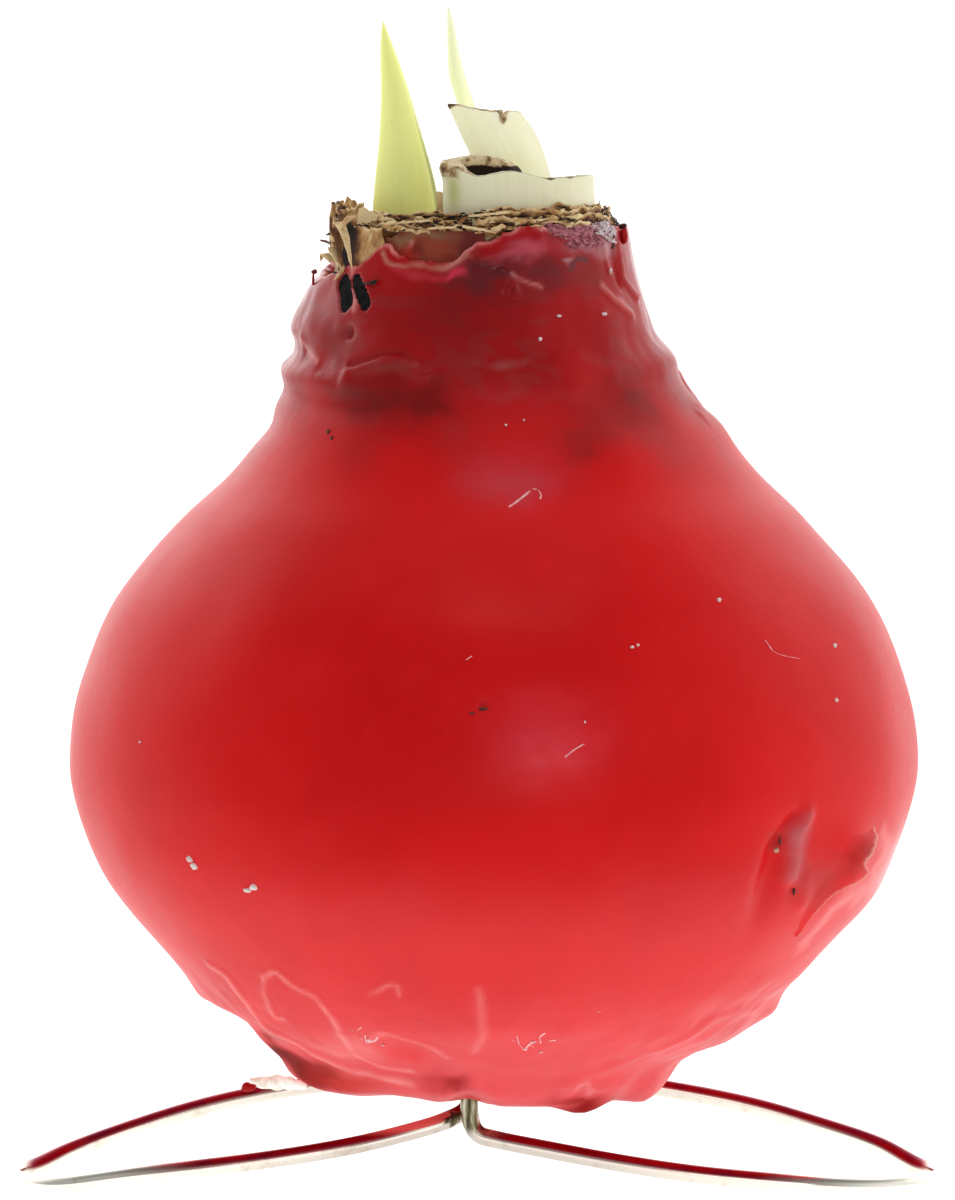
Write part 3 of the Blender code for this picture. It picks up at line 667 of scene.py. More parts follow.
# Places on the front of the wax are pixels of the photograph. A line has its height and half-width
# in mm.
RIDGES = (
    (((211, 965), (225, 975), (247, 1003), (264, 1026), (290, 1041), (318, 1056), (345, 1070),
      (375, 1080), (412, 1087)), 0.30, 0.55),
    (((264, 976), (276, 971), (290, 983), (315, 997), (333, 1020), (347, 1042), (366, 1063),
      (392, 1073), (412, 1071)), 0.20, 0.42),
    (((264, 976), (266, 995), (276, 1016), (286, 1018)), 0.16, 0.4),
    (((368, 993), (384, 987), (398, 985), (400, 994)), 0.12, 0.4),
    (((478, 989), (480, 1001), (482, 1036), (474, 1052)), 0.12, 0.7),
    (((372, 1040), (385, 1034), (405, 1040), (430, 1046), (446, 1058)), 0.18, 0.6),
    (((568, 1081), (629, 1060), (682, 1040), (723, 1016), (764, 1007)), 0.30, 1.1),
    (((806, 816), (799, 830), (793, 846), (791, 862), (789, 876)), 0.75, 0.95),
    (((805, 880), (805, 893), (801, 905)), 0.4, 0.8),
    (((297, 339), (304, 350), (314, 361)), 0.22, 1.0),
    (((335, 362), (342, 376)), 0.12, 0.8),
    (((350, 371), (375, 367), (400, 368), (425, 374)), 0.45, 0.8),
    (((440, 366), (500, 372), (560, 362), (610, 372)), 0.16, 1.3),
    (((445, 398), (505, 404), (570, 392)), 0.14, 1.0),
    (((619, 246), (621, 262), (625, 280), (636, 296)), 0.45, 0.5),
    (((601, 286), (612, 298), (624, 308), (632, 315)), 0.28, 0.45),
    (((604, 250), (609, 272)), 0.25, 0.4),
    (((684, 377), (692, 396), (699, 416)), 0.35, 0.6),
    (((502, 272), (508, 277), (514, 284), (516, 291)), 0.55, 0.5),
    (((384, 254), (390, 262), (400, 266), (415, 265), (434, 267), (446, 268), (456, 262),
      (466, 254)), 0.2, 0.35),
    (((396, 270), (415, 274), (440, 276), (464, 271)), 0.12, 0.6),
    (((506, 506), (520, 497), (539, 488)), 0.04, 0.8),
    (((351, 268), (353, 280), (355, 294), (356, 312)), 0.2, 0.3),
    (((481, 262), (501, 252), (520, 247), (540, 240)), 0.35, 0.6),
    (((512, 273), (524, 281), (540, 287)), 0.15, 0.3),
)
CREASES = (
    (((793, 816), (786, 828), (778, 838), (770, 847)), 0.7, 0.45),
    (((350, 363), (366, 360), (384, 353), (401, 354), (411, 360), (424, 364)), 0.5, 0.28),
    (((613, 250), (616, 268), (620, 285)), 0.35, 0.4),
    (((440, 382), (500, 388), (560, 380)), 0.16, 1.0),
    (((302, 352), (318, 366), (334, 380)), 0.3, 0.8),
    (((470, 268), (490, 262), (512, 262)), 0.4, 0.6),
)
# A spot stands out or in by so much, with its half-sizes
SPOT_SHAPES = (
    (346, 331, -0.9, 0.6, 0.7), (341, 328, 0.3, 0.5, 0.6), (793, 891, -0.4, 0.5, 0.6),
    (505, 284, 0.45, 0.5, 0.7), (421, 1075, 0.3, 1.6, 1.2), (604, 314, 0.2, 0.35, 0.2),
    (312, 326, 0.5, 2.0, 2.4), (780, 850, -0.3, 1.5, 1.6),
)
# A tint has its half-sizes in mm, its colour and its strength. Some are painted highlights and
# some painted shade, as marked
TINTS = (
    ((480, 300), 6.0, 4.0, (0.20, 0.005, 0.006), 0.7),
    ((420, 330), 5.0, 5.0, (0.24, 0.006, 0.007), 0.5),
    # Painted shadow under the collar ridge of the neck, from here to the tint at (690, 400)
    ((405, 400), 5.4, 2.7, DEEP, 0.85), ((360, 398), 3.2, 2.2, DEEP, 0.55),
    ((430, 410), 2.6, 1.0, DEEP, 0.5), ((625, 405), 5.4, 3.0, (0.24, 0.008, 0.008), 0.65),
    ((640, 396), 2.4, 0.9, DEEP, 0.4), ((590, 440), 4.0, 2.0, (0.25, 0.008, 0.008), 0.45),
    ((690, 400), 3.4, 3.0, (0.20, 0.01, 0.01), 0.4), ((385, 369), 4.0, 0.8, MUTED, 0.85),
    # The tint at (330, 310) is a painted sheen on the bulge at the left of the neck
    ((330, 310), 3.0, 4.5, GREY, 0.45), ((345, 345), 4.0, 1.6, MUTED, 0.6),
    ((492, 268), 3.4, 1.5, VIOLET, 0.95), ((470, 283), 2.6, 1.5, VIOLET, 0.8),
    ((545, 270), 3.0, 1.9, (0.17, 0.015, 0.02), 0.85),
    ((590, 275), 2.8, 2.2, (0.24, 0.03, 0.028), 0.7),
    ((532, 247), 2.2, 0.9, ROSE, 0.95), ((512, 256), 2.2, 0.6, ROSE, 0.7),
    # At (568, 258), a whitish painted glint beside a grey-blue spot
    ((579, 262), 1.1, 0.4, SLATE, 0.9), ((568, 258), 0.6, 0.18, (0.5, 0.32, 0.34), 0.7),
    ((583, 245), 2.0, 0.9, (0.42, 0.16, 0.19), 0.8),
    ((607, 243), 1.2, 1.3, (0.50, 0.32, 0.34), 0.8),
    # Painted highlights along the lower lip of the thin wax over the scale
    ((432, 276), 3.4, 0.4, (0.55, 0.03, 0.05), 0.5),
    ((457, 274), 1.0, 0.35, (0.8, 0.05, 0.1), 0.8),
    # A painted highlight along the ridge to the left of the flap
    ((800, 850), 1.0, 4.0, (0.46, 0.08, 0.09), 0.7),
    ((818, 880), 3.6, 3.4, (0.52, 0.045, 0.045), 0.6),
    ((779, 840), 0.9, 1.0, (0.34, 0.010, 0.008), 0.85), ((770, 848), 0.5, 0.5, DEEP, 0.7),
    ((480, 709), 0.75, 0.25, DEEP, 0.9), ((471, 712), 0.5, 0.2, DEEP, 0.8),
    # Painted highlights: a patch at the top of the body, a band over the shoulder, and a broad patch on
    # the belly
    ((512, 480), 5.2, 2.9, (0.54, 0.036, 0.058), 0.6),
    ((515, 395), 7.0, 1.2, (0.42, 0.03, 0.04), 0.2),
    ((548, 738), 6.0, 4.6, (0.76, 0.045, 0.065), 0.6),
    ((550, 758), 3.0, 1.0, (0.84, 0.09, 0.11), 0.25),
    # Painted shade low on the underside, the skirt and the drips, which face the floor under the bulb
    ((280, 1052), 1.6, 2.4, (0.16, 0.010, 0.007), 1.0),
    ((302, 1068), 3.2, 2.2, (0.20, 0.012, 0.008), 1.0),
    ((270, 1038), 1.0, 1.4, (0.45, 0.02, 0.015), 0.8),
    ((322, 1080), 4.0, 1.8, (0.34, 0.018, 0.014), 0.95),
    ((458, 1086), 1.6, 1.2, (0.30, 0.01, 0.01), 0.9),
    ((352, 1088), 4.0, 1.3, (0.62, 0.05, 0.04), 0.7),
    ((580, 1101), 3.2, 0.9, (0.30, 0.005, 0.004), 1.0),
    ((436, 1083), 2.2, 1.6, (0.50, 0.02, 0.02), 0.6),
    # A painted highlight on the drip
    ((584, 1090), 1.8, 0.3, (0.85, 0.30, 0.30), 0.6),
    ((400, 1058), 2.6, 1.4, (0.75, 0.02, 0.02), 0.5), ((352, 1052), 3.4, 2.2, PALE, 0.35),
    ((900, 745), 2.0, 9.0, (0.85, 0.09, 0.09), 0.3),
)
FILM_TINTS = (
    ((392, 246), 1.4, 1.4, (0.16, 0.05, 0.025), 0.9),
    ((403, 256), 1.6, 1.6, (0.45, 0.02, 0.012), 0.9),
    ((440, 252), 2.2, 1.5, (0.34, 0.05, 0.025), 0.6),
    ((397, 240), 2.0, 0.5, (0.28, 0.14, 0.07), 0.9),
    ((425, 236), 2.6, 0.6, (0.28, 0.16, 0.09), 0.8),
    ((416, 254), 0.9, 0.8, (0.10, 0.012, 0.012), 0.6),
    ((408, 246), 0.5, 0.4, (0.6, 0.25, 0.2), 0.7),
    ((470, 245), 2.0, 2.0, VIOLET, 0.9), ((446, 262), 2.0, 0.6, DEEP, 0.5),
)
# Painted shade where the flap turns towards the camera, away from the light, and a painted highlight at
# (848, 838)
FLAP_TINTS = (
    ((868, 848), 1.3, 2.6, (0.34, 0.012, 0.010), 0.95),
    ((850, 866), 2.6, 1.6, (0.44, 0.016, 0.014), 0.8),
    ((848, 838), 1.6, 1.6, (0.60, 0.08, 0.09), 0.5),
    ((820, 900), 1.8, 2.0, (0.56, 0.04, 0.04), 0.5),
)
# Dull places, with their half-sizes and how far their gloss drops
DULLED = (
    ((282, 1052), 5.0, 4.5, 2.6), ((310, 1072), 4.5, 3.0, 2.6), ((340, 1088), 4.0, 1.0, 2.6),
    ((580, 1100), 3.4, 1.4, 2.6), ((515, 560), 8.0, 6.0, 1.1), ((515, 435), 8.0, 4.5, 1.1),
    ((640, 402), 6.0, 4.0, 1.1), ((395, 400), 6.0, 3.0, 1.1),
)
# Shiny places, with their half-sizes and their gloss
POLISHED = (
    ((890, 860), 3.0, 6.0, 0.9), ((505, 284), 1.0, 1.0, 0.6), ((580, 258), 3.0, 1.5, 0.6),
    ((350, 325), 4.0, 4.0, 0.4),
)
# Which ridge is tinted, how wide, its colour and its strength. On ridges 7, 9, 14 to 17, 19 and
# 20 the tint is a painted highlight along a lit fold or edge
LINE_TINTS = (
    (0, 0.5, PALE, 0.6), (1, 0.35, PALE, 0.6), (2, 0.3, PALE, 0.45), (3, 0.3, PALE, 0.35),
    (4, 0.5, PALE, 0.3), (5, 0.4, PALE, 0.4), (7, 0.8, (0.55, 0.14, 0.15), 0.6),
    (9, 0.3, PALE, 0.5), (15, 0.3, PALE, 0.4), (16, 0.25, PALE, 0.4), (17, 0.35, PALE, 0.4),
    (19, 0.28, (0.55, 0.2, 0.15), 0.95), (20, 0.4, (0.50, 0.03, 0.05), 0.6),
    (22, 0.3, PALE, 0.6), (14, 0.3, (0.8, 0.35, 0.33), 0.6), (24, 0.2, PALE, 0.5),
)
# The torn edge of the flap from its top, and the line that it rises from
FLAP_EDGE = (
    (874, 826), (877, 838), (873, 852), (865, 862), (866, 868), (869, 873), (860, 881), (847, 887),
    (832, 896), (820, 908), (809, 921), (796, 938),
)
FLAP_INNER = (
    (846, 822), (840, 832), (834, 842), (830, 850), (827, 856), (824, 862), (820, 868), (814, 876),
    (807, 886), (800, 898), (795, 912), (792, 930),
)
# Tears under the torn scale, from their tops, with their widths in mm
TEARS = (
    (((343, 282), (345, 291), (346, 303)), 1.85), (((355, 280), (360, 291), (365, 304)), 1.25),
)


def wax_profile():
    """Radius and height along the outer side, closer together where the wax has its fine forms."""
    side = spline(WAX_OUTLINE, 24)
    far = np.concatenate([[0], np.cumsum(np.linalg.norm(np.diff(side, axis=0), axis=1))])
    spacing = level_at(WAX_SPACING, side[:, 1])
    steps = np.concatenate([[0], np.cumsum(np.diff(far) / spacing[1:])])
    at = np.interp(np.linspace(0, steps[-1], round(steps[-1]) + 1), steps, far)
    return np.interp(at, far, side[:, 0]), np.interp(at, far, side[:, 1])


def wax_rise(angle, height, radius):
    """How far the wax stands out of its turned outline, as in the part but with a fainter collar
    in front."""
    rise = np.zeros(angle.shape)
    front = turn_between(angle, 0)
    for at, level, amount, half_width, half_height in WAX_SWELLS:
        along = np.radians(turn_between(angle, at)) * radius
        rise += amount * hump(along, half_width) * hump(height - level, half_height)
    collar = 91.8 + 1.6 * np.sin(np.radians(angle + 35))
    fold = 0.7 * hump(height - collar, 1.4) - 0.56 * hump(height - collar + 2.8, 1.5)
    rise += fold * (1 - 0.65 * smooth_step(-125, -105, front) * (1 - smooth_step(20, 60, front)))
    hem = 19.6 + 1.3 * np.sin(np.radians(3 * angle + 20))
    waves = 0.65 + 0.35 * np.sin(np.radians(7 * angle))
    rise += 0.8 * waves * hump(height - hem, 1.8)
    turn = np.radians(angle)
    spots = np.stack([radius * np.cos(turn), radius * np.sin(turn), height], -1)
    return rise + 0.35 * noise_at(spots, 16)


def wax_angles():
    """The columns of the wax, three times as close together on the side that the camera sees."""
    degrees = np.arange(361.0)
    crowd = 1 + 2 * smooth_step(155, 170, degrees) * (1 - smooth_step(368, 378, degrees))
    crowd += 2 * (1 - smooth_step(8, 18, degrees))
    steps = np.concatenate([[0], np.cumsum(crowd[1:])])
    return np.interp(np.linspace(0, steps[-1], WAX_COLUMNS, endpoint=False), steps, degrees)


def warped(points):
    """The points moved a little by noise, so that what is drawn at them gets uneven edges."""
    coarse = [noise_at(points, 2.6, 10.0 + k) for k in range(3)]
    fine = [noise_at(points, 0.9, 20.0 + k) for k in range(3)]
    return points + 1.1 * np.stack(coarse, -1) + 0.35 * np.stack(fine, -1)


def around(points, at, wide, high):
    """For each point, the square of how far it is from a place, as a share of the half-sizes."""
    x, y, z = np.moveaxis(points - np.asarray(at), -1, 0)
    return (x / wide) ** 2 + (z / high) ** 2 + (y / PLACE_DEEP) ** 2


class Wax:
    """The outer side of the wax as a grid of points, with a tint and a gloss at each."""

    def __init__(self):
        radii, heights = wax_profile()
        self.angles = wax_angles()
        angle = np.broadcast_to(self.angles, (len(radii), WAX_COLUMNS))
        height = np.broadcast_to(heights[:, None], angle.shape).copy()
        radius = np.broadcast_to(radii[:, None], angle.shape).copy()
        rim = level_at(RIM_LEVELS, turn_between(angle, 0))
        spots = in_line(angle / 3)
        rim = rim + 0.4 * noise_at(spots, 1.0, 3.3) + 0.15 * noise_at(spots, 0.3, 6.3)
        share = np.clip((height - RIM_FROM) / (RIM_TOP - RIM_FROM), 0, None)
        level = np.where(height > RIM_FROM, RIM_FROM + share * (rim - RIM_FROM), height)
        radius = np.where(height > RIM_FROM, outline_radius(level), radius)
        calm = smooth_step(8, 20, radius) * (1 - 0.7 * smooth_step(94, 104, level))
        radius = radius + wax_rise(angle, level, radius) * calm
        self.points = round_axis(radius, np.radians(angle), level)
        self.angle, self.level, self.radius, self.rim = angle, level, radius, rim
        self.tint = np.zeros((*angle.shape, 4))
        self.gloss = 0.75 * smooth_step(*NECK_GLOSS, level)
        self.gaps = []
        self.shade_sheets = []
        self.shape()
        self.colour()
        self.tears()
        for x, y, drop, wide, deep in DRIPS:
            near = hump(self.points[..., 0] - x, wide) * hump(self.points[..., 1] - y, deep)
            low = 1 - smooth_step(*DRIPS_END, self.points[..., 2])
            self.points[..., 2] -= drop * near * low
        self.points[0] = self.points[0].mean(0)
        low, high = np.array(cad_box[0]) / MM, np.array(cad_box[1]) / MM
        self.points = np.clip(self.points, low + 0.002, high - 0.002)

    def shape(self):
        """Pushes the surface out and in, for lumps, ridges, creases and spots."""
        points, level = self.points, self.level
        neck = smooth_step(*NECK_LUMPS, level)
        foot = 1 - smooth_step(*FOOT_LUMPS_END, level)
        rise = 0.07 * noise_at(points, 7, 1.5) + 0.26 * neck * noise_at(points * (1, 1, 0.7), 5, 4.1)
        rise += 0.08 * neck * noise_at(points * (1, 1, 0.7), 1.8, 9.2)
        rise += foot * (0.30 * noise_at(points, 5, 6.5) + 0.14 * noise_at(points, 2.2, 2.6))
        rise *= smooth_step(12, 20, self.radius)
        for angle, height, amount, half_angle, half_height in ROUNDS:
            near = hump(turn_between(self.angle, angle), half_angle)
            rise += amount * (near * hump(level - height, half_height))
        bent = points + 0.3 * (warped(points) - points)
        for line, tall, wide in RIDGES:
            far = near_line(bent, spline([self.at(*p) for p in line], 4))
            self.gaps.append(far)
            rise += tall * hump(far, wide)
        for line, deep, wide in CREASES:
            rise -= deep * hump(near_line(bent, spline([self.at(*p) for p in line], 4)), wide)
        for x, y, tall, wide, high in SPOT_SHAPES:
            rise += tall * np.exp(-around(points, self.at(x, y), wide, high))
        self.push(rise)

    def push(self, rise):
        """Moves each point out along the surface's normal by this much."""
        along = np.gradient(self.points, axis=0)
        across = np.roll(self.points, -1, axis=1) - np.roll(self.points, 1, axis=1)
        out = np.cross(across, along)
        out /= np.linalg.norm(out, axis=-1, keepdims=True) + 1e-9
        self.points = self.points + out * rise[..., None]

    def paint(self, strength, colour):
        self.tint = painted(self.tint, strength, colour)

    def colour(self):
        """The neck's dark wax, painted light from below, and each place's tint and gloss, painted
        highlights and shade among them.
        """
        points, level = self.points, self.level
        bent = warped(points)
        cloud = noise_at(points, 6, 7.7)
        wisps = noise_at(points * (1, 1, 2.2), 2.4, 5.2)
        self.paint(0.85 * smooth_step(*NECK_DARK, level + 2 * cloud) * (1 + 0.2 * cloud), NECK)
        hazy = smooth_step(*NECK_HAZE, level) * smooth_step(0.05, 0.5, cloud + wisps)
        self.paint(0.3 * hazy, MUTED)
        uneven = level + 1.5 * cloud
        # Painted light from the floor: the wax is paler low on the body and at its foot
        self.paint(0.29 * (1 - smooth_step(*LOW_LIGHT_END, uneven)), (0.76, 0.075, 0.08))
        self.paint(0.62 * (1 - smooth_step(*FOOT_LIGHT_END, uneven)), (0.79, 0.11, 0.12))
        # A painted highlight: paler pink wax along the flap's edge, on the side that faces the light
        beside = [self.at(x + 9, y + 7) for x, y in FLAP_EDGE]
        self.paint(0.5 * hump(near_line(bent, spline(beside, 3)), 1.2), (0.88, 0.26, 0.25))
        self.tint = blotched(self.tint, bent, self.at, TINTS, 1 + 0.35 * cloud + 0.35 * wisps)
        for pixel, wide, high, drop in DULLED:
            self.gloss -= drop * np.exp(-around(points, self.at(*pixel), wide, high) ** DULL_EDGE)
        # Pale tints along the ridges, some of them painted highlights
        for index, wide, colour, strength in LINE_TINTS:
            self.paint(strength * hump(self.gaps[index], wide) * (0.85 + 0.5 * wisps), colour)
        self.paint(0.55 * hump(level - self.rim, 0.22) * (0.5 + 1.5 * wisps), PALE)
        for pixel, wide, high, shine in POLISHED:
            near = np.exp(-around(points, self.at(*pixel), wide, high))
            self.gloss = np.where(near > 0.02, np.maximum(self.gloss, shine * near), self.gloss)

    def tears(self):
        """Sinks the slits of the tears, black with painted shade, and keeps the sheets of painted shade
        behind them.
        """
        for path, wide in TEARS:
            path = spline(path, 5)
            across = np.linspace(-0.6, 0.6, 7) * wide / PIXEL
            ends = [path[0] - (0, 0.6 * wide / PIXEL), *path, path[-1] + (0, 0.6 * wide / PIXEL)]
            grid = [[self.at(x + u, y, -0.3) for u in across] for x, y in ends]
            self.shade_sheets.append(np.array(grid))
            far = near_line(self.points, np.array([self.at(*p) for p in path]))
            slit = 1 - smooth_step(wide / 2 - 0.1, wide / 2 + 0.1, far)
            self.push(-1.5 * slit)
            # Painted shade: the slits are black inside
            self.paint(smooth_step(0.0, 0.3, slit), BLACK)

    def on(self, point, out=0.0):
        """The point of the wax over this one, moved out of it by this much in mm."""
        x, y, z = point
        middle = axis_shift(z)
        turn = math.degrees(math.atan2(y, x - middle)) % 360
        column = np.interp(turn, [*self.angles, 360], np.arange(WAX_COLUMNS + 1))
        first = int(column) % WAX_COLUMNS
        side = self.points[2:, first] * (1 - column % 1)
        side = side + self.points[2:, (first + 1) % WAX_COLUMNS] * (column % 1)
        levels = np.maximum.accumulate(side[:, 2])
        across, deep = (np.interp(z, levels, side[:, axis]) for axis in (0, 1))
        away = math.hypot(across - middle, deep)
        grow = (away + out) / math.hypot(x - middle, y)
        return np.array([middle + (x - middle) * grow, y * grow, z])

    def at(self, x, y, out=0.0):
        """The point of the wax that the photograph shows at this pixel, moved out by this much."""
        aim = np.array([x, y], float)
        for _ in range(3):
            aim += (x, y) - np.array(pixel_of(self.on(seen(*aim), out)))
        return self.on(seen(*aim), out)


def painted(tint, strength, colour):
    """A tint with this colour laid over it, which is less see-through where it is strong."""
    strength = np.clip(strength, 0, 1)[..., None]
    under = tint[..., 3:] * (1 - strength)
    whole = under + strength
    over = (tint[..., :3] * under + np.array(colour) * strength) / np.maximum(whole, 1e-6)
    return np.concatenate([over, whole], -1)


def blotched(tint, points, find, places, fade=1.0):
    """A tint with a soft blotch of colour at each of these places, which find turns into points."""
    for pixel, wide, high, colour, strength in places:
        near = np.exp(-(around(points, find(*pixel), wide, high) ** TINT_EDGE))
        tint = painted(tint, strength * near * fade, colour)
    return tint


def grown(outline, by):
    """An outline of (radius, height) points moved out by this much."""
    points = np.array(outline, float)
    along = np.gradient(points, axis=0)
    out = np.stack([along[:, 1], -along[:, 0]], -1)
    out /= np.linalg.norm(out, axis=1, keepdims=True)
    out[points[:, 0] == 0] = (0, -1)
    return points + out * by


def wax_coat(wax, material):
    """The wax as a closed shell: its outer side, its lip and its inner wall."""
    outer = wax.points
    outside = outer.shape[0]
    centre = np.stack([axis_shift(outer[-1][:, 2]), np.zeros(WAX_COLUMNS), outer[-1][:, 2]], -1)
    inward = centre - outer[-1]
    inward /= np.linalg.norm(inward, axis=1, keepdims=True)
    rings = [outer[-1] + inward * 0.4 + (0, 0, 0.2), outer[-1] + inward * 0.9 - (0, 0, 0.1)]
    body = [p for p in grown(BULB_OUTLINE, GAP) if p[1] < 93.4]
    walls = [(r, z) for r, z in (*body, *WAX_INSIDE_NECK) if z < 104]
    neck = np.array(WAX_INSIDE_NECK[1:4])
    turn = np.radians(wax.angles)
    for radius, height in reversed(walls):
        level = np.minimum(np.full(WAX_COLUMNS, height), outer[-1][:, 2] - 0.4)
        at = np.where(level < height, np.interp(level, neck[:, 1], neck[:, 0]), radius)
        rings.append(round_axis(at, turn, level))
    points = np.concatenate([outer.reshape(-1, 3), np.concatenate(rings)])
    hidden = (len(rings) - 2) * WAX_COLUMNS
    colours = np.concatenate(
        [wax.tint.reshape(-1, 4), np.tile(wax.tint[-1], (2, 1)), np.zeros((hidden, 4))]
    )
    gloss = np.concatenate([wax.gloss.ravel(), np.tile(wax.gloss[-1], 2), np.zeros(hidden)])
    made = mesh_object(
        "wax_coat_fine", points, tube_faces(outside + len(rings), WAX_COLUMNS), material,
        attributes={"tint": colours, "gloss": gloss},
    )
    return place(made, "wax", "wax_coat")


def wax_film(material):
    """The thin wax over the dry scale at the left of the neck, where the scale shows through."""
    count, levels = 110, 34
    angle = np.linspace(-127, -86, count)
    turn = np.radians(angle)
    share = np.linspace(0, 1, levels)[:, None]
    top = 106.5 - 0.9 * hump(angle + 126, 5) + 0.4 * noise_at(in_line(angle / 3), 1.0, 2.0)
    level = 101.0 + (top - 101.0) * share
    at = 16.55 - 0.22 * (level - 102) + 0 * angle
    grid = round_axis(at, turn, level)
    at = at + 0.18 * noise_at(grid, 2.2, 5.0) + 0.08 * noise_at(grid, 0.8, 8.0)
    grid = round_axis(at, turn, level)
    tint = np.ones((levels, count, 4))
    tint[..., :3] = (0.23, 0.055, 0.030)
    tint = blotched(tint, warped(grid), seen, FILM_TINTS)
    made = sheet_object(
        "wax_film", grid, 0.3, material, {"tint": tint, "gloss": np.full((levels, count), 0.8)}
    )
    return place(made, "wax")


def torn_flap(wax, material):
    """The raised torn edge of a second coat of wax, low on the right, with painted shade and a painted
    highlight on it.
    """
    edge = spline(FLAP_EDGE, 9)
    inner = spline(FLAP_INNER, 9)
    count, levels = len(edge), 18
    along = np.linspace(0, 1, count)
    edge[:, 0] += 1.8 * noise_at(in_line(along * 20), 0.5, 1.0)
    rows = []
    for t in np.linspace(0, 1, levels):
        lift = -0.25 + 0.85 * t**1.6 + 0 * along
        lift = lift - 0.35 * smooth_step(0.5, 1.0, along) * t
        lift = lift - 0.6 * (1 - smooth_step(0, 0.12, along))
        rows.append([wax.at(*p, out) for p, out in zip(inner + (edge - inner) * t, lift)])
    grid = np.array(rows)
    grid = grid + 0.05 * noise_at(grid, 1.6, 3.0)[..., None]
    t = np.linspace(0, 1, levels)[:, None]
    bent = warped(grid)
    nearby = np.linalg.norm(wax.points - grid.reshape(-1, 3).mean(0), axis=-1) < 12
    away = np.linalg.norm(grid[:, :, None] - wax.points[nearby], axis=-1)
    tint = wax.tint[nearby][away.argmin(-1)]
    late = smooth_step(0.2, 0.7, t) * smooth_step(0.0, 0.2, along)
    # Painted shade and highlight on the outer part of the flap
    tint = blotched(tint, bent, wax.at, FLAP_TINTS, late)
    tint = painted(tint, hump(1 - t, 0.05) * (0.9 - 0.5 * along), (0.82, 0.42, 0.34))
    thick = 0.26 - 0.10 * t + 0 * along
    made = sheet_object(
        "wax_flap", grid, thick, material, {"tint": tint, "gloss": 0.2 - 1.7 * late}
    )
    return place(made, "wax")


def tear_liners(wax, material):
    """Dark sheets of painted shade behind the tears."""
    parts = [sheet_object("tear_shade_sheet", grid[::-1], 0.1, material) for grid in wax.shade_sheets]
    return place(joined("tear_liners", parts), "dry_scale")


def lump(name, middle, sizes, material, seed, tint=None):
    """A small uneven bead or crumb."""
    count, levels = 12, 8
    polar = np.linspace(0.02, math.pi - 0.02, levels)
    round_ = np.radians(360 * np.arange(count) / count)
    grid = np.stack([
        np.sin(polar)[:, None] * np.cos(round_), np.sin(polar)[:, None] * np.sin(round_),
        -np.cos(polar)[:, None] + 0 * round_,
    ], -1)
    grid = grid * (1 + 0.35 * noise_at(grid, 0.9, seed))[..., None]
    points = np.array(middle) + grid.reshape(-1, 3) * sizes
    attributes = {"tint": np.tile(tint, (len(points), 1))} if tint else None
    faces = tube_faces(levels, count)
    return mesh_object(name, points, faces, material, attributes=attributes)


# Bulb, leaves and scales

# Torn pieces at the neck. A point is a pixel of the photograph and how far out of the wax it is, or
# else x, y and z in mm, which has x below 0.
SCALE_PANELS = (
    (((347, 285, -1.0), (388, 262, -0.7), (381, 231, -0.3), (350, 224, -0.2)), 0.3, 0.3, 1.9, 0.25, 0),
    (((-13.2, -9.3, 105.6), (-10.4, -10.6, 105.8), (-10.2, -10.4, 108.0), (-12.9, -9.2, 108.8)),
     0.28, 1.8, 0.0, 0.3, 0),
    (((-15.2, -6.8, 106.2), (-12.6, -8.6, 106.9), (-12.4, -8.4, 109.0), (-15.0, -6.8, 108.2)),
     0.3, 0.2, 0.6, 0.2, 0.5),
)
# Each strip has its path, width, paleness, shade and twist in degrees
SCALE_STRIPS = (
    (((338, 222, 0.3), (344, 232, 0.5), (348, 248, 0.35), (352, 268, 0.05)), 1.0, 0.9, 0, 25),
    (((334, 228, 0.2), (338, 240, 0.3), (340, 254, 0.3), (344, 272, 0.0)), 0.9, 0.2, 0.8, -20),
    (((337, 236, 0.1), (-15.9, -6.4, 105.7), (-16.6, -6.5, 105.5)), 0.8, 0.1, 0.9, 20),
    (((338, 244, 0.1), (-16.3, -6.2, 104.7), (-17.2, -6.2, 104.9)), 1.0, 0.2, 0.7, -20),
    (((334, 262, -0.2), (-16.8, -6.0, 103.4), (-17.2, -5.6, 102.6)), 1.0, 1.0, 0.1, 20),
    (((332, 248, 0.1), (335, 256, 0.4), (338, 266, 0.2)), 0.9, 1.2, 0.0, 30),
    (((340, 262, 0.1), (342, 270, 0.25), (345, 280, 0.0)), 0.6, 0.7, 0.2, 10),
    (((352, 216, 0.2), (345, 222, 0.6), (340, 232, 0.6)), 0.8, 0.9, 0.1, 10),
    (((364, 284, -0.2), (371, 283, 0.25), (378, 280, 0.35)), 1.1, -0.6, 0.9, 90),
)
# Strips that lie along the wax rim, with their width and paleness
RIM_STRIPS = (
    ((452, 226), (498, 233), 0.5, 1.1), ((470, 217), (512, 213), 0.4, 0.9),
    ((512, 230), (552, 226), 0.45, 1.0), ((500, 238), (536, 234), 0.5, 0.5),
    ((556, 222), (594, 228), 0.4, 0.9), ((392, 224), (430, 221), 0.4, 0.6),
    ((420, 230), (456, 228), 0.4, 0.8),
)


def on_wax(wax, point):
    """Where a point of these tables is, in mm."""
    return point if point[0] < 0 else tuple(wax.at(*point))


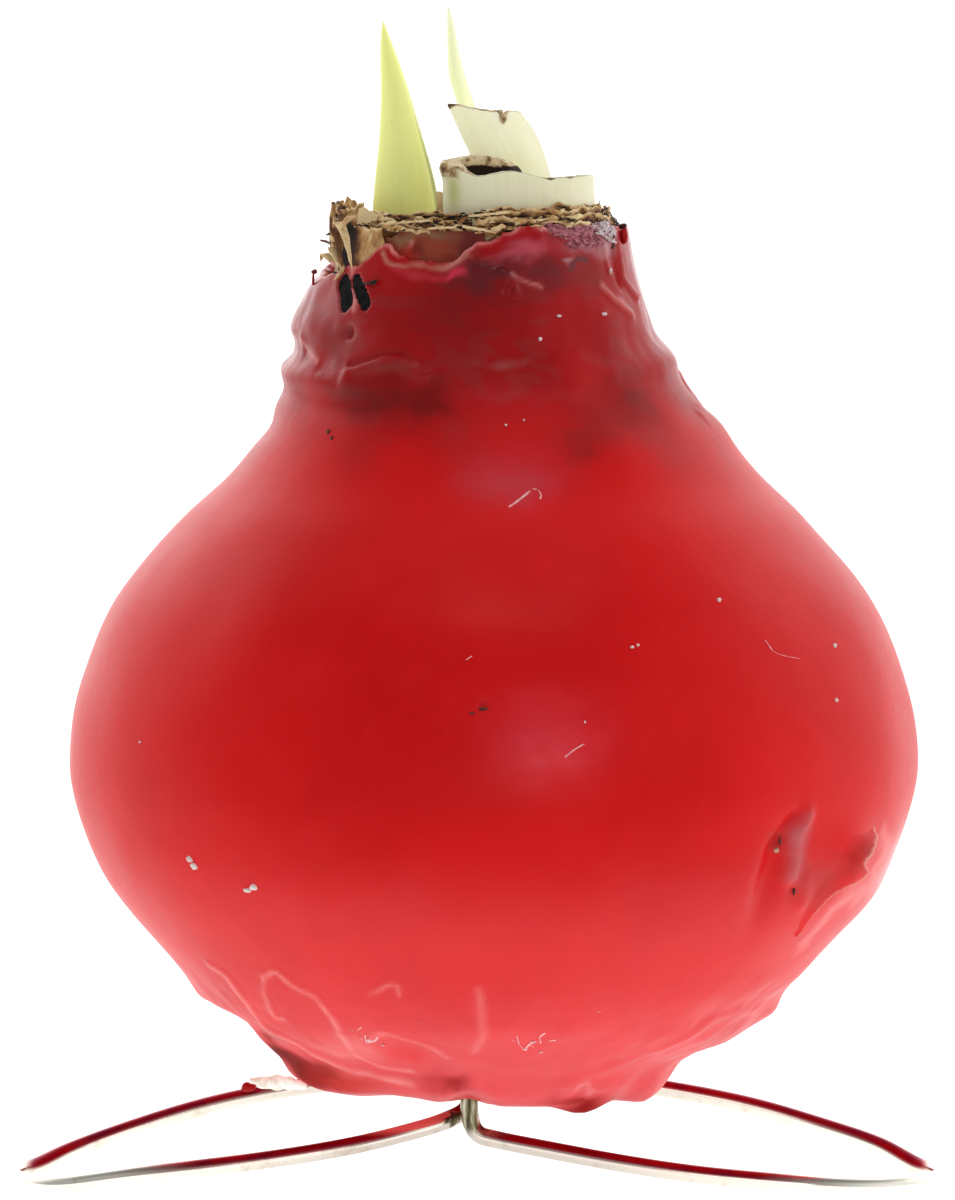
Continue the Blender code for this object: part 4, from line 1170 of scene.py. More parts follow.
def bulb_neck(material):
    """The bulb under the wax, with the rings of its cut scales at the top."""
    columns = 120
    turn = np.radians(360 * np.arange(columns) / columns)
    rings = []
    for radius, height in BULB_OUTLINE:
        rings.append((np.full(columns, radius), np.full(columns, height)))
    for radius in np.linspace(13.9, 0.15, 46)[1:]:
        spots = np.stack([radius * np.cos(turn), radius * np.sin(turn), turn * 0], -1)
        wavy = radius + 0.5 * noise_at(spots, 6, 2.2)
        ridge = 0.35 * np.cos(math.tau * wavy / 2.6) + 0.25 * noise_at(spots, 1.3, 5.5)
        rings.append((np.full(columns, radius), NECK_TOP - 0.6 * (1 - radius / 13.9) + ridge))
    points = np.concatenate([round_axis(r, turn, z) for r, z in rings])
    made = mesh_object("bulb_fine", points, tube_faces(len(rings), columns), material)
    return place(made, "flesh", "bulb")


def blade(name, stations, material, node, roll=0.0):
    """A living leaf, with round edges and its right margin rolled back by roll mm."""
    rows = spline(stations, 12)
    count = 40
    turn = np.radians(360 * np.arange(count) / count)
    points, uv = [], []
    for i, (x, y, z, width, thick, bow) in enumerate(rows):
        u = np.cos(turn)
        margin = roll * smooth_step(0.72, 1.0, u) * width / 8
        round_ = np.sign(np.sin(turn)) * np.abs(np.sin(turn)) ** 0.8
        thin = np.sqrt(np.clip(1 - 0.75 * u * u, 0, 1))
        keel = 0.18 * hump(u + 0.15, 0.3) * width / 8
        points.append(np.stack([
            x + u * width / 2 - margin * 0.25,
            y + bow * u * u + margin - round_ * thick / 2 * thin - keel,
            np.full(count, z),
        ], -1))
        uv.append(np.stack([(u + 1) / 2, np.full(count, i / (len(rows) - 1))], -1))
    points = np.concatenate(points)
    points[:, 1] += 0.06 * noise_at(points * (1, 1, 0.25), 1.6, 3.0)
    faces = [face[::-1] for face in tube_faces(len(rows), count)]
    made = mesh_object(name, points, faces, material, uv=np.concatenate(uv))
    return place(made, "leaf", node)


def cut_upper(material):
    """The leaf that was cut off high, with a browned edge and a notch in it."""
    rows = spline(CUT_LEAF_UPPER, 12)
    count = 90
    u = np.linspace(-1, 1, count)
    edge = np.interp(np.linspace(0, 10, count), range(11), CUT_UPPER_EDGE)
    ragged = noise_at(in_line(u * 4), 0.5, 1.1)
    notch = hump(u - 0.50, 0.045) + 0.5 * hump(u - 0.40, 0.03)
    top = edge + 0.08 * ragged - 0.7 * notch
    middle, thick = [], []
    for i, (x, y, z, width, deep, bow) in enumerate(rows):
        share = smooth_step(0.72, 1.0, i / (len(rows) - 1))
        middle.append(np.stack([x + u * width / 2, y + bow * u * u, z + top * share], -1))
        thick.append(deep * (0.55 + 0.45 * smooth_step(0, 0.6, 1 - np.abs(u))) * np.ones(count))
    middle, thick = np.array(middle), np.array(thick)
    middle[..., 1] += 0.08 * noise_at(middle * (1, 1, 0.2), 1.5, 7.0)
    away = middle[-1, :, 2] - middle[..., 2]
    corner = np.linalg.norm(middle - middle[-1, 0], axis=-1)
    wound = np.linalg.norm((middle - (2.75, 0, 118.3)) * (1.9, 0, 0.8), axis=-1)
    dry = 0.62 * hump(away, 0.13) + 1.0 * hump(corner, 0.7) + 1.3 * hump(wound, 0.75)
    dry += 0.4 * hump(away, 0.25) * hump(u - 0.2, 0.3)
    shade = 0.8 * hump(corner, 0.7) + 0.6 * hump(wound, 0.9)
    made = sheet_object(
        "cut_leaf_upper_fine", middle, thick, material,
        {"edge": dry, "shade": shade, "pale": 0.2 + 0 * dry, "green": 0 * dry},
    )
    return place(made, "cut_leaf", "cut_leaf_upper")


def cut_lower(material):
    """The leaf that was cut off low. It curls back on itself at the left, where it is dry, with painted
    shadow inside the curl.
    """
    plan = spline(CUT_LOWER_PLAN, 16)
    tops = spline([(top,) for top in CUT_LOWER_TOP], 16)[:, 0]
    count = len(plan)
    share = np.linspace(0, 1, count)
    spots = in_line(share * 40)
    crust = smooth_step(0.46, 0.60, share)
    inside = smooth_step(0.64, 0.71, share)
    tops = tops + 0.08 * noise_at(spots, 0.9, 4.0) + crust * 0.5 * noise_at(spots, 6.0, 8.0)
    levels = 30
    middle = np.zeros((levels, count, 3))
    thick = np.zeros((levels, count))
    for v in range(levels):
        rise = (v / (levels - 1)) ** 0.7
        level = 101.2 + (tops - 101.2) * rise
        out = 1 + 0.5 * smooth_step(NECK_TOP + 1, 109, level) / 12
        slant = 0.30 * (level - 107.5) * (1 - smooth_step(0.0, 0.10, share)) * (level > 107.5)
        middle[v] = np.stack([plan[:, 0] * out - slant, plan[:, 1] * out, level], -1)
        lip = crust * hump(tops - level - 0.7, 0.9)
        lumpy = 1 + 0.8 * noise_at(spots, 3.0, 2.0) + 0.3 * noise_at(spots, 0.9, 6.0)
        thick[v] = 1.3 + 0.9 * lip * lumpy
    middle[..., 1] += 0.10 * noise_at(middle * (1, 1, 0.3), 1.6, 5.0)
    away = tops - middle[..., 2]
    deep = 1.1 + 2.6 * inside
    dry = 0.58 * hump(away, 0.16) + 1.3 * crust * (1 - smooth_step(deep, deep + 0.7, away))
    dry += 0.6 * (hump(share - 0.265, 0.012) + 0.7 * hump(share - 0.20, 0.01)) * hump(away, 0.35)
    pale = crust * (1.3 + 1.9 * noise_at(middle, 1.3, 4.0))
    green = hump(share - 0.55, 0.045) * 0.7 * hump(away - 3.0, 2.5)
    # Painted shadow in the gap inside the curl, under its lip
    shade = 3.0 * inside * smooth_step(-113.2, -112.9, -middle[..., 2])
    made = sheet_object(
        "cut_leaf_lower_fine", middle, thick, material,
        {"edge": dry, "shade": shade, "pale": pale, "green": green},
    )
    return place(made, "cut_leaf", "cut_leaf_lower")


def torn(angle, seed, coarse=0.62, fine=0.30, hair=0.08):
    """How far a torn edge stands above or below its level, in mm, at each angle along it."""
    spots = in_line(angle, seed)
    far = 1.5 * coarse * noise_at(spots * (0.06, 1, 1), 1)
    far = far + 1.5 * fine * noise_at(spots * (0.22, 1, 1), 1, 4)
    far = far + hair * noise_at(spots * (1.6, 1, 1), 1, 9)
    return far + 1.5 * hair * noise_at(spots * (0.7, 1, 1), 1, 6)


def rim_at(angle):
    return level_at(RIM_LEVELS, turn_between(angle, 0))


def skin(name, angle, high, lean, inset, curl, seed, material, pale, shade):
    """One torn skin of a dry scale, up to high at each angle. It leans out by lean above the wax, and
    its edge is rolled outwards by curl, in mm."""
    turn = np.radians(angle)
    foot = DRY_SIDE[0][1]
    side = np.array(DRY_SIDE)
    spots = in_line(angle * 0.08, seed)
    wave = 0.45 * noise_at(spots, 1.0, 1.0) + 0.22 * noise_at(spots * (3, 1, 1), 1.0, 2.0)
    roll = curl * np.clip(0.7 + 1.5 * noise_at(spots * (2, 1, 1), 1.0, 5.0), 0.12, 1.7)
    clear = np.maximum(rim_at(angle), 105.6)
    rows, edges, shades = [], [], []
    for share in np.linspace(0, 1, 22):
        level = foot + (high - foot) * share
        free = smooth_step(-0.4, 1.2, level - clear)
        spots = np.stack([angle * 0.25, level * 1.2, level * 0 + seed], -1)
        at = np.interp(level, side[:, 1], side[:, 0]) + inset * smooth_step(100, 105, level)
        rows.append((at + (lean + wave) * free + 0.12 * noise_at(spots, 1.0) * free, level))
        # The top edge and curl are paler, partly a painted highlight; the skin darkens towards its foot
        # with painted shade under the skins outside it, and in blotches
        edges.append(hump(high - level, 0.30) * 0.6)
        blotch = shade * (0.6 + 1.1 * noise_at(spots * (0.8, 1.6, 1), 1.7))
        shades.append(blotch + 0.7 * (1 - share))
    at, level = rows[-1]
    for bend in (25, 55, 90, 125, 150):
        tilt = math.radians(bend)
        rows.append((at + roll * math.sin(tilt), level + roll * (math.cos(tilt) - 0.75) * 0.8))
        edges.append(angle * 0 + 1.0)
        shades.append(angle * 0 + 0.25 * shade)
    grid = np.array([round_axis(at, turn, level) for at, level in rows])
    thick = 0.26 - 0.06 * np.linspace(0, 1, len(rows))[:, None] + np.zeros(len(angle))
    tone = pale + 1.5 * noise_at(grid, 2.4, seed) + 0.7 * noise_at(grid, 0.8, seed)
    return sheet_object(
        name, grid, thick, material,
        {"edge": np.array(edges), "shade": np.array(shades), "pale": tone},
    )


def dry_scale(name, material):
    """One dry scale as five torn skins, the outer ones lower and further out."""
    first, last, top, flare, seed = DRY_SCALES[name]
    angle = np.linspace(first, last, round((last - first) * 1.4))
    ends = 0.9 * (hump(angle - first, 6) + hump(angle - last, 6))
    skins = []
    for k, (sink, lean, inset, curl, pale, shade) in enumerate(DRY_SKINS):
        high = top + torn(angle, seed + 0.9 * k) - ends - sink
        high = np.maximum(high, rim_at(angle) + 0.45 + 0.5 * torn(angle, seed + 3.3 * k))
        lean = flare * 0.4 + lean
        skins.append(skin("skin", angle, high, lean, inset, curl, seed + k, material, pale, shade))
    return place(joined(name + "_fine", skins), "dry_scale", name)


def torn_scale(material):
    """The scale that curls out over the wax on the left, split into strips with sharp ends."""
    side = spline(TORN_SIDE, 5)
    count = len(side)
    skins = []
    for k, (first, last, grow, drop) in enumerate(TORN_STRIPS):
        angle = np.linspace(first, last, round((last - first) * 2.6))
        turn = np.radians(angle)
        spots = np.stack([angle * 0.3, angle * 0, angle * 0 + k], -1)
        teeth = np.abs(((angle * 0.27 + k * 0.4) % 1) - 0.5) * 2
        crest = 0.8 * noise_at(spots, 1.0, 2.0) + 0.25 * noise_at(spots * (4, 1, 1), 1.0, 3.0)
        hang = 2.6 * teeth * (1 + noise_at(spots, 1.0, 4.0)) + drop
        rows, shades = [], []
        for i, (radius, height) in enumerate(side):
            share = smooth_step(count * 0.62, count - 1, i)
            rise = crest * smooth_step(count * 0.3, count * 0.6, i)
            close = grow * smooth_step(0.3 * count, 0.7 * count, i)
            close = close + 0.5 * share * noise_at(spots, 0.8, 7.0)
            at = radius + close - 1.9 * smooth_step(15.0, 17, radius) * (i > count * 0.4)
            level = height + rise - 0.5 * smooth_step(106.5, 108.5, height) + (hang - 1.4) * share
            rows.append(round_axis(at, turn, level))
            blotch = noise_at(np.stack([angle * 0.5, level, level * 0 + k], -1), 1.2)
            shades.append(0.5 + 1.2 * blotch)
        grid = np.array(rows)
        edge = np.zeros(grid.shape[:2])
        edge[-5:] = 0.9
        skins.append(sheet_object(
            "torn_skin", grid, 0.26, material,
            {"edge": edge, "shade": np.array(shades), "pale": 0.7 + 1.4 * noise_at(grid, 1.6, 3.0)},
        ))
    return place(joined("torn_scale_left_fine", skins), "dry_scale", "torn_scale_left")


def panel(corners, thick, material, pale, shade, bow, curl):
    """A smooth torn piece between four corners, from the lower left one round by the right. Its top
    edge is ragged and curls towards the viewer by curl mm."""
    a, b, c, d = (np.array(p, float) for p in corners)
    across = np.linspace(0, 1, 34)
    up = np.linspace(0, 1, 26)[:, None]
    u, v = across[None, :, None], up[..., None]
    grid = (a * (1 - u) + b * u) * (1 - v) + (d * (1 - u) + c * u) * v
    grid = grid + np.array([0, -1, 0]) * bow * np.sin(math.pi * u)
    spots = in_line(across * 6)
    ragged = noise_at(spots, 0.9, pale) * 0.7 + noise_at(spots, 0.25, pale) * 0.25
    grid[..., 2] += ragged * smooth_step(0.5, 1, up) * 0.7
    grid[..., 1] -= curl * smooth_step(0.7, 1, up)
    grid = grid + 0.07 * noise_at(grid, 1.3, 6.0)[..., None]
    across = across + 0 * up
    dark = shade * (1 - smooth_step(0.05, 0.55, across)) + 0.5 * (1 - smooth_step(0, 0.4, up))
    return sheet_object(
        "panel", grid, thick, material,
        {"edge": hump(1 - up, 0.06) + 0 * across, "shade": dark, "pale": pale + 0 * across},
    )


def strip(path, width, thick, material, pale, shade, twist, blunt=False):
    """A thin torn strip along a path, pointed at its far end unless it is blunt."""
    line = spline(path, 8)
    rows = []
    for point, share in zip(line, np.arange(len(line)) / (len(line) - 1)):
        wide = width * (1 if blunt else 1 - share**1.6) + 0.08
        lean = math.radians(twist * share)
        across = np.array([math.cos(lean), math.sin(lean), 0])
        rows.append([point + across * wide * u for u in np.linspace(-0.5, 0.5, 7)])
    grid = np.array(rows)
    grid = grid + 0.08 * noise_at(grid, 0.8, width)[..., None]
    flat = np.ones(grid.shape[:2])
    return sheet_object(
        "strip", grid, thick, material, {"edge": flat * 0.4, "shade": flat * shade, "pale": flat * pale}
    )


def loose_scale(wax, material):
    """Torn pieces of dry scale round the tears in the wax on the left, and under the cut leaves."""
    parts = []
    for corners, thick, pale, shade, bow, curl in SCALE_PANELS:
        corners = [on_wax(wax, p) for p in corners]
        parts.append(panel(corners, thick, material, pale, shade, bow, curl))
    for path, width, pale, shade, twist in SCALE_STRIPS:
        path = [on_wax(wax, p) for p in path]
        parts.append(strip(path, width, 0.2, material, pale, shade, twist))
    for first, last, width, pale in RIM_STRIPS:
        start, end = seen(*first), seen(*last)
        middle = (start + end) / 2 + (0, -0.5, 0.1)
        path = [start * (0.93, 0.93, 1), middle * (0.95, 0.95, 1), end * (0.94, 0.94, 1)]
        parts.append(strip(path, width, 0.22, material, pale, 0.1, 80, True))
    for k, lean in enumerate((-0.2, 0.1, 0.35)):
        foot = np.array([-4.1 + 0.35 * k, -7.4 + 0.3 * k, 108.3 + 0.2 * k])
        path = [foot, foot + (0.05, -0.2, 1.1), foot + (lean, -0.05, 2.0 - 0.3 * k)]
        parts.append(strip(path, 0.7, 0.2, material, 1.3, 0.1, 30 - 30 * k, True))
    return place(joined("loose_scale", parts), "dry_scale")


def scrap(material):
    """The pale scrap of scale beside the wire."""
    line = spline(SCRAP, 10)
    count = len(line)
    share = np.linspace(-1, 1, count)
    ragged = 1 - 0.7 * np.clip(share, 0, 1) ** 2 - 0.6 * np.clip(-share, 0, 1)
    ragged = ragged + 0.2 * noise_at(np.stack([share * 4, share, share], -1), 1)
    rows = []
    for level in np.linspace(-0.8, 0.8, 10):
        curl = 0.9 * level * level - 0.5 * level + 0 * share
        rows.append(line + np.stack([share * 0, curl, level * ragged - 0.25], -1))
    made = sheet_object("scale_scrap_fine", np.array(rows), 0.3, material)
    return place(made, "pale_scale", "scale_scrap")


# Geometry node trees


class Tree:
    """A geometry node tree with named inputs, that ends in Realize Instances and Set Material."""

    def __init__(self, name, inputs):
        self.group = bpy.data.node_groups.new(name, "GeometryNodeTree")
        face = self.group.interface
        face.new_socket("Geometry", in_out="INPUT", socket_type="NodeSocketGeometry")
        face.new_socket("Geometry", in_out="OUTPUT", socket_type="NodeSocketGeometry")
        self.names = {}
        for label, kind in inputs:
            made = face.new_socket(label, in_out="INPUT", socket_type="NodeSocket" + kind)
            self.names[label] = made.identifier
        self.start = self.group.nodes.new("NodeGroupInput")
        self.end = self.group.nodes.new("NodeGroupOutput")

    def node(self, kind, values=None, output=0, **settings):
        made = self.group.nodes.new(kind)
        for key, value in settings.items():
            setattr(made, key, value)
        for key, value in (values or {}).items():
            if isinstance(value, bpy.types.NodeSocket):
                self.group.links.new(value, made.inputs[key])
            else:
                made.inputs[key].default_value = value
        return made.outputs[output]

    def vector(self, operation, a, b):
        return self.node("ShaderNodeVectorMath", {0: a, 1: b}, operation=operation)

    def random(self, low, high, seed):
        values = {"Min": low, "Max": high, "Seed": seed}
        return self.node("FunctionNodeRandomValue", values, data_type="FLOAT_VECTOR")

    def given(self, label="Geometry"):
        return self.start.outputs[label]

    def finish(self, geometry):
        whole = self.node("GeometryNodeRealizeInstances", {0: geometry})
        done = self.node(
            "GeometryNodeSetMaterial", {"Geometry": whole, "Material": self.given("Material")}
        )
        self.group.links.new(done, self.end.inputs[0])

    def applied(self, name, points, edges, faces, values):
        """A plain mesh of what the tree makes from these points in mm."""
        data = bpy.data.meshes.new(name)
        data.from_pydata((np.asarray(points, float) * MM).tolist(), edges, faces)
        made = linked(name, data)
        step = made.modifiers.new("Tree", "NODES")
        step.node_group = self.group
        for label, value in values.items():
            step[self.names[label]] = value
        graph = bpy.context.evaluated_depsgraph_get()
        result = bpy.data.meshes.new_from_object(made.evaluated_get(graph))
        made.modifiers.clear()
        made.data = result
        result.name = name
        return made


def wire_foot(material):
    """The wire along its route, with its painted reflection of the bulb and its dull places kept as
    attributes.
    """
    tree = Tree("sweep_wire", (("Radius", "Float"), ("Sides", "Int"), ("Material", "Material")))
    line = tree.node("GeometryNodeMeshToCurve", {"Mesh": tree.given()})
    ring = tree.node(
        "GeometryNodeCurvePrimitiveCircle",
        {"Radius": tree.given("Radius"), "Resolution": tree.given("Sides")},
    )
    bar = tree.node(
        "GeometryNodeCurveToMesh", {"Curve": line, "Profile Curve": ring, "Fill Caps": True}
    )
    tree.finish(tree.node("GeometryNodeSetShadeSmooth", {"Geometry": bar}))
    route = spline(WIRE_ROUTE, 14)
    route[:, 2] = np.maximum(route[:, 2], WIRE_RADIUS)
    reach = np.array([cad_box[0][0], cad_box[1][0]]) / MM
    route[:, 0] = np.clip(route[:, 0], reach[0] + WIRE_RADIUS, reach[1] - WIRE_RADIUS)
    edges = [(i, i + 1) for i in range(len(route) - 1)]
    made = tree.applied(
        "wire_stand_fine", route, edges, [],
        {"Radius": WIRE_RADIUS * MM, "Sides": 24, "Material": material},
    )
    count = len(made.data.vertices)
    where, facing = np.zeros(count * 3), np.zeros(count * 3)
    made.data.vertices.foreach_get("co", where)
    made.data.vertices.foreach_get("normal", facing)
    up = facing.reshape(-1, 3)[:, 2]
    x, y, z = where.reshape(-1, 3).T / MM
    ends = np.where(y < 0, 1 - smooth_step(30, 42, np.abs(x)), 1 - smooth_step(49, 51, np.abs(x)))
    # Painted reflection of the red bulb where the wire faces up; the middle prong is dull and darker
    film = smooth_step(-0.05, 0.30, up) * ends * (1 - smooth_step(6.6, 7.4, z) * (y < -5.5))
    dull = smooth_step(6.2, 7.6, z) * (y < -5.5) * (np.abs(x) < 3)
    for label, values in (("film", film), ("dull", dull)):
        made.data.attributes.new(label, "FLOAT", "POINT").data.foreach_set("value", values)
    return place(made, "wire", "wire_stand")


def flakes(name, bands, material, density, size, seed):
    """Small torn flakes scattered over bands of faces, each band given by its two edges."""
    tree = Tree("scattered_flakes", (
        ("Flakes per square metre", "Float"), ("Size", "Float"), ("Seed", "Int"),
        ("Material", "Material"),
    ))
    spread = tree.node("GeometryNodeDistributePointsOnFaces", {
        "Mesh": tree.given(), "Density": tree.given("Flakes per square metre"),
        "Seed": tree.given("Seed"),
    })
    flake = tree.node("GeometryNodeMeshIcoSphere", {"Radius": 0.5, "Subdivisions": 2})
    grain = tree.node("ShaderNodeTexNoise", {"Scale": 1.7, "Detail": 2.0}, output="Color")
    shake = tree.vector("SUBTRACT", grain, (0.5, 0.5, 0.5))
    shake = tree.vector("MULTIPLY", shake, (1.4, 1.4, 0.9))
    flake = tree.node("GeometryNodeSetPosition", {"Geometry": flake, "Offset": shake})
    there = tree.node("GeometryNodeInputPosition")
    way = tree.node("ShaderNodeMath", {
        0: tree.node("ShaderNodeSeparateXYZ", {0: there}, output=1),
        1: tree.node("ShaderNodeSeparateXYZ", {0: there}, output=0),
    }, operation="ARCTAN2")
    tilt = tree.random((-0.5, -0.35, 1.2), (0.5, 0.35, 1.95), tree.given("Seed"))
    turn = tree.vector("ADD", tilt, tree.node("ShaderNodeCombineXYZ", {2: way}))
    shape = tree.random((0.7, 0.2, 0.2), (2.2, 0.45, 0.6), 7)
    scale = tree.node(
        "ShaderNodeVectorMath", {0: shape, "Scale": tree.given("Size")}, operation="SCALE"
    )
    placed = tree.node("GeometryNodeInstanceOnPoints", {
        "Points": spread, "Instance": flake, "Rotation": turn, "Scale": scale,
    })
    tones = tree.random((-1.2, 0.0, 0.0), (1.6, 1.4, 1.0), 9)
    for label, output in (("pale", 0), ("shade", 1)):
        tone = tree.node("ShaderNodeSeparateXYZ", {0: tones}, output=output)
        placed = tree.node("GeometryNodeStoreNamedAttribute", {
            "Geometry": placed, "Name": label, "Value": tone,
        }, data_type="FLOAT", domain="INSTANCE")
    tree.finish(placed)
    points, faces = [], []
    for low, high in bands:
        start = len(points)
        points += [*low, *high]
        faces += grid_faces(2, len(low), False, start)
    return tree.applied(name, points, [], faces, {
        "Flakes per square metre": density, "Size": size * MM, "Seed": seed, "Material": material,
    })


def round_band(angle, low, high, inner, outer):
    """The two edges of a band round the neck, at these levels and radii."""
    turn = np.radians(angle)
    return [round_axis(inner, turn, low + 0 * angle), round_axis(outer, turn, high + 0 * angle)]


# Flakes per square metre
RIM_DENSITY = 8.0e6
FROST_DENSITY = 1.3e7


def rim_flakes(dry, frosted, white):
    """The crumbling edge of the dry scales, and the frosted flakes of wax at the right of it."""
    bands = []
    for first, last, top, flare, seed in DRY_SCALES.values():
        angle = np.linspace(first, last, round(last - first))
        high = top + torn(angle, seed, hair=0)
        low = np.maximum(rim_at(angle) + 0.2, high - 2.4)
        low = np.where(rim_at(angle) < 104.9, high - 1.6, low)
        bands.append(round_band(angle, high - 1.0, high - 0.1, 13.9, 14.1 + flare * 0.4))
        bands.append(round_band(angle, low, high - 0.7, 16.1, 14.7))
    place(flakes("rim_flakes", bands, dry, RIM_DENSITY, 0.5, 5), "dry_scale")
    for name, first, last, finish, seed in (
        ("frosted_flakes", -61, -36, frosted, 3), ("white_flakes", -39, -26, white, 8),
    ):
        angle = np.linspace(first, last, 30)
        rim = rim_at(angle) + 0.2
        side = outline_radius(rim) + wax_rise(angle, rim, outline_radius(rim)) * 0.3
        low = rim - 0.3 - 1.3 * smooth_step(first, first + 11, angle)
        bands = [
            round_band(angle, low, rim, side + 0.4, side + 0.1),
            round_band(angle, rim, rim + 0.7, side + 0.1, side - 1.0),
        ]
        place(flakes(name, bands, finish, FROST_DENSITY, 0.55, seed), "wax")


# Small things on the wax. A bead has its place, half-sizes, colour and seed, a crumb its pixel,
# half-width and half-height, a scratch its pixels and width.

BEADS = (
    ((624, 236, 0.3), (0.42, 0.5, 0.9), (0.36, 0.004, 0.006), 1.0),
    ((623, 226, 0.2), (0.45, 0.4, 0.3), (0.05, 0.01, 0.01), 5.0),
    ((-17.9, -3.4, 101.3), (0.34, 0.3, 0.26), (0.2, 0.03, 0.03), 2.0),
    ((-18.0, -3.4, 100.5), (0.15, 0.2, 0.8), (0.3, 0.03, 0.03), 3.0),
    ((-25.4, 10.6, 9.7), (0.8, 0.5, 0.55), (0.36, 0.004, 0.006), 4.0),
)
# White chips and glints: those at (540, 339), (604, 314), (559, 316), (506, 425) and (524, 420) are
# painted glints on small bumps
CHIPS_AND_GLINTS = (
    (190, 859, 0.42, 0.36), (195, 866, 0.46, 0.40), (248, 890, 0.55, 0.28), (254, 887, 0.5, 0.36),
    (540, 339, 0.20, 0.24), (719, 600, 0.24, 0.26), (632, 647, 0.24, 0.16), (638, 645, 0.18, 0.16),
    (835, 646, 0.22, 0.3), (836, 700, 0.24, 0.22), (604, 314, 0.34, 0.18), (559, 316, 0.28, 0.16),
    (525, 1049, 0.24, 0.14), (533, 1042, 0.34, 0.12), (369, 1040, 0.36, 0.14),
    (506, 425, 0.14, 0.14), (524, 420, 0.12, 0.12), (140, 742, 0.14, 0.12), (585, 722, 0.12, 0.14),
    (610, 271, 0.2, 0.3), (383, 1045, 0.2, 0.1), (541, 1052, 0.2, 0.1),
)
SPECKS = (
    (328, 432, 0.22, 0.3), (332, 438, 0.16, 0.26), (483, 709, 0.5, 0.14), (472, 713, 0.3, 0.12),
    (794, 891, 0.13, 0.5), (613, 236, 0.22, 0.3), (613, 246, 0.24, 0.34), (779, 841, 0.12, 0.5),
    (374, 283, 0.4, 0.3),
)
SCRATCHES = (
    # The first two rows are a scratch whose bright pink streak is partly a painted highlight
    (((509, 507), (519, 500), (530, 491)), 0.20),
    (((533, 489), (538, 490), (541, 495), (540, 499)), 0.16),
    (((512, 1040), (519, 1044), (524, 1050)), 0.15), (((524, 1050), (530, 1044), (536, 1041)), 0.16),
    (((519, 1044), (517, 1036)), 0.12), (((530, 1044), (534, 1048)), 0.14),
    (((536, 1041), (541, 1043)), 0.12), (((541, 1043), (540, 1037), (545, 1033)), 0.12),
    (((548, 1041), (556, 1040)), 0.12), (((360, 1037), (366, 1042), (374, 1041), (378, 1037)), 0.18),
    (((366, 1042), (365, 1035)), 0.13), (((349, 1028), (353, 1031)), 0.12),
    (((357, 1030), (362, 1027)), 0.1), (((597, 1011), (601, 1012)), 0.1),
    (((418, 1020), (422, 1022)), 0.12), (((565, 757), (574, 750), (584, 744)), 0.14),
    (((765, 640), (776, 653), (800, 659)), 0.09), (((466, 660), (472, 656)), 0.1),
)


def crumbs_on(wax, name, places, out, deep, finish, seed):
    parts = [
        lump("crumb", wax.at(x, y, out), (wide, deep, high), finish, k + seed)
        for k, (x, y, wide, high) in enumerate(places)
    ]
    return place(joined(name, parts), "wax")


def scratches_on(wax, finish):
    parts = []
    for path, wide in SCRATCHES:
        rows = []
        for x, y in spline(path, 8):
            across = np.array([(-1, -0.6), (-0.35, -0.2), (0.35, 0.2), (1, 0.6)]) * wide / 2 / PIXEL
            rows.append([wax.at(x + u, y + v, 0.03) for u, v in across])
        parts.append(sheet_object("scratch", np.array(rows)[::-1], 0.08, finish))
    return place(joined("pink_scratches", parts), "wax")


def beads_on(wax, finish):
    parts = [
        lump("bead", on_wax(wax, middle), sizes, finish, seed, (*colour, 1.0))
        for middle, sizes, colour, seed in BEADS
    ]
    return place(joined("wax_beads", parts), "wax")


# Build

red_wax = wax_material()
dry = dry_material()
wax = Wax()
wax_coat(wax, red_wax)
wax_film(red_wax)
torn_flap(wax, red_wax)
# A near-black finish for the sheets of painted shade behind the tears
tear_dark = plain_material("tear_dark", (0.014, 0.014, 0.016), (0.004, 0.004, 0.005), 0.8, 0.8, 0.1)
tear_liners(wax, tear_dark)
bulb_neck(flesh_material())
blade("leaf_left_fine", LEAF_LEFT, leaf_material(
    "leaf_left_skin", (0.76, 0.76, 0.27), (0.79, 0.82, 0.31), (0.80, 0.84, 0.31), (0.20, 0.22, 0.03),
), "leaf_left", roll=1.3)
blade("leaf_back_fine", LEAF_BACK, leaf_material(
    "leaf_back_skin", (0.80, 0.87, 0.50), (0.86, 0.92, 0.62), (0.88, 0.93, 0.62), (0.66, 0.74, 0.26),
), "leaf_back")
cut_upper(cut_leaf_material("cut_upper_skin", 0.21, (0.97, 0.94, 0.73), (0.94, 0.92, 0.68)))
# The lower cut leaf has the upper one's skin, darker and with less glow, as painted shade
cut_lower(cut_leaf_material("cut_lower_skin", 0.05, (0.90, 0.87, 0.64), (0.86, 0.83, 0.58)))
for scale_name in DRY_SCALES:
    dry_scale(scale_name, dry)
torn_scale(dry)
loose_scale(wax, dry)
frosted = plain_material("frosted_wax", (0.52, 0.17, 0.21), (0.22, 0.03, 0.045), 0.8, 0.5)
frost_white = plain_material("white_frost", (0.70, 0.60, 0.62), (0.36, 0.18, 0.20), 0.8, 0.4)
rim_flakes(dry, frosted, frost_white)
scrap(plain_material("pale_scale_skin", (0.90, 0.90, 0.84), (0.66, 0.64, 0.52), 1.2, 0.45, 0.3, 0.35))
wire_foot(wire_material())
beads_on(wax, red_wax)
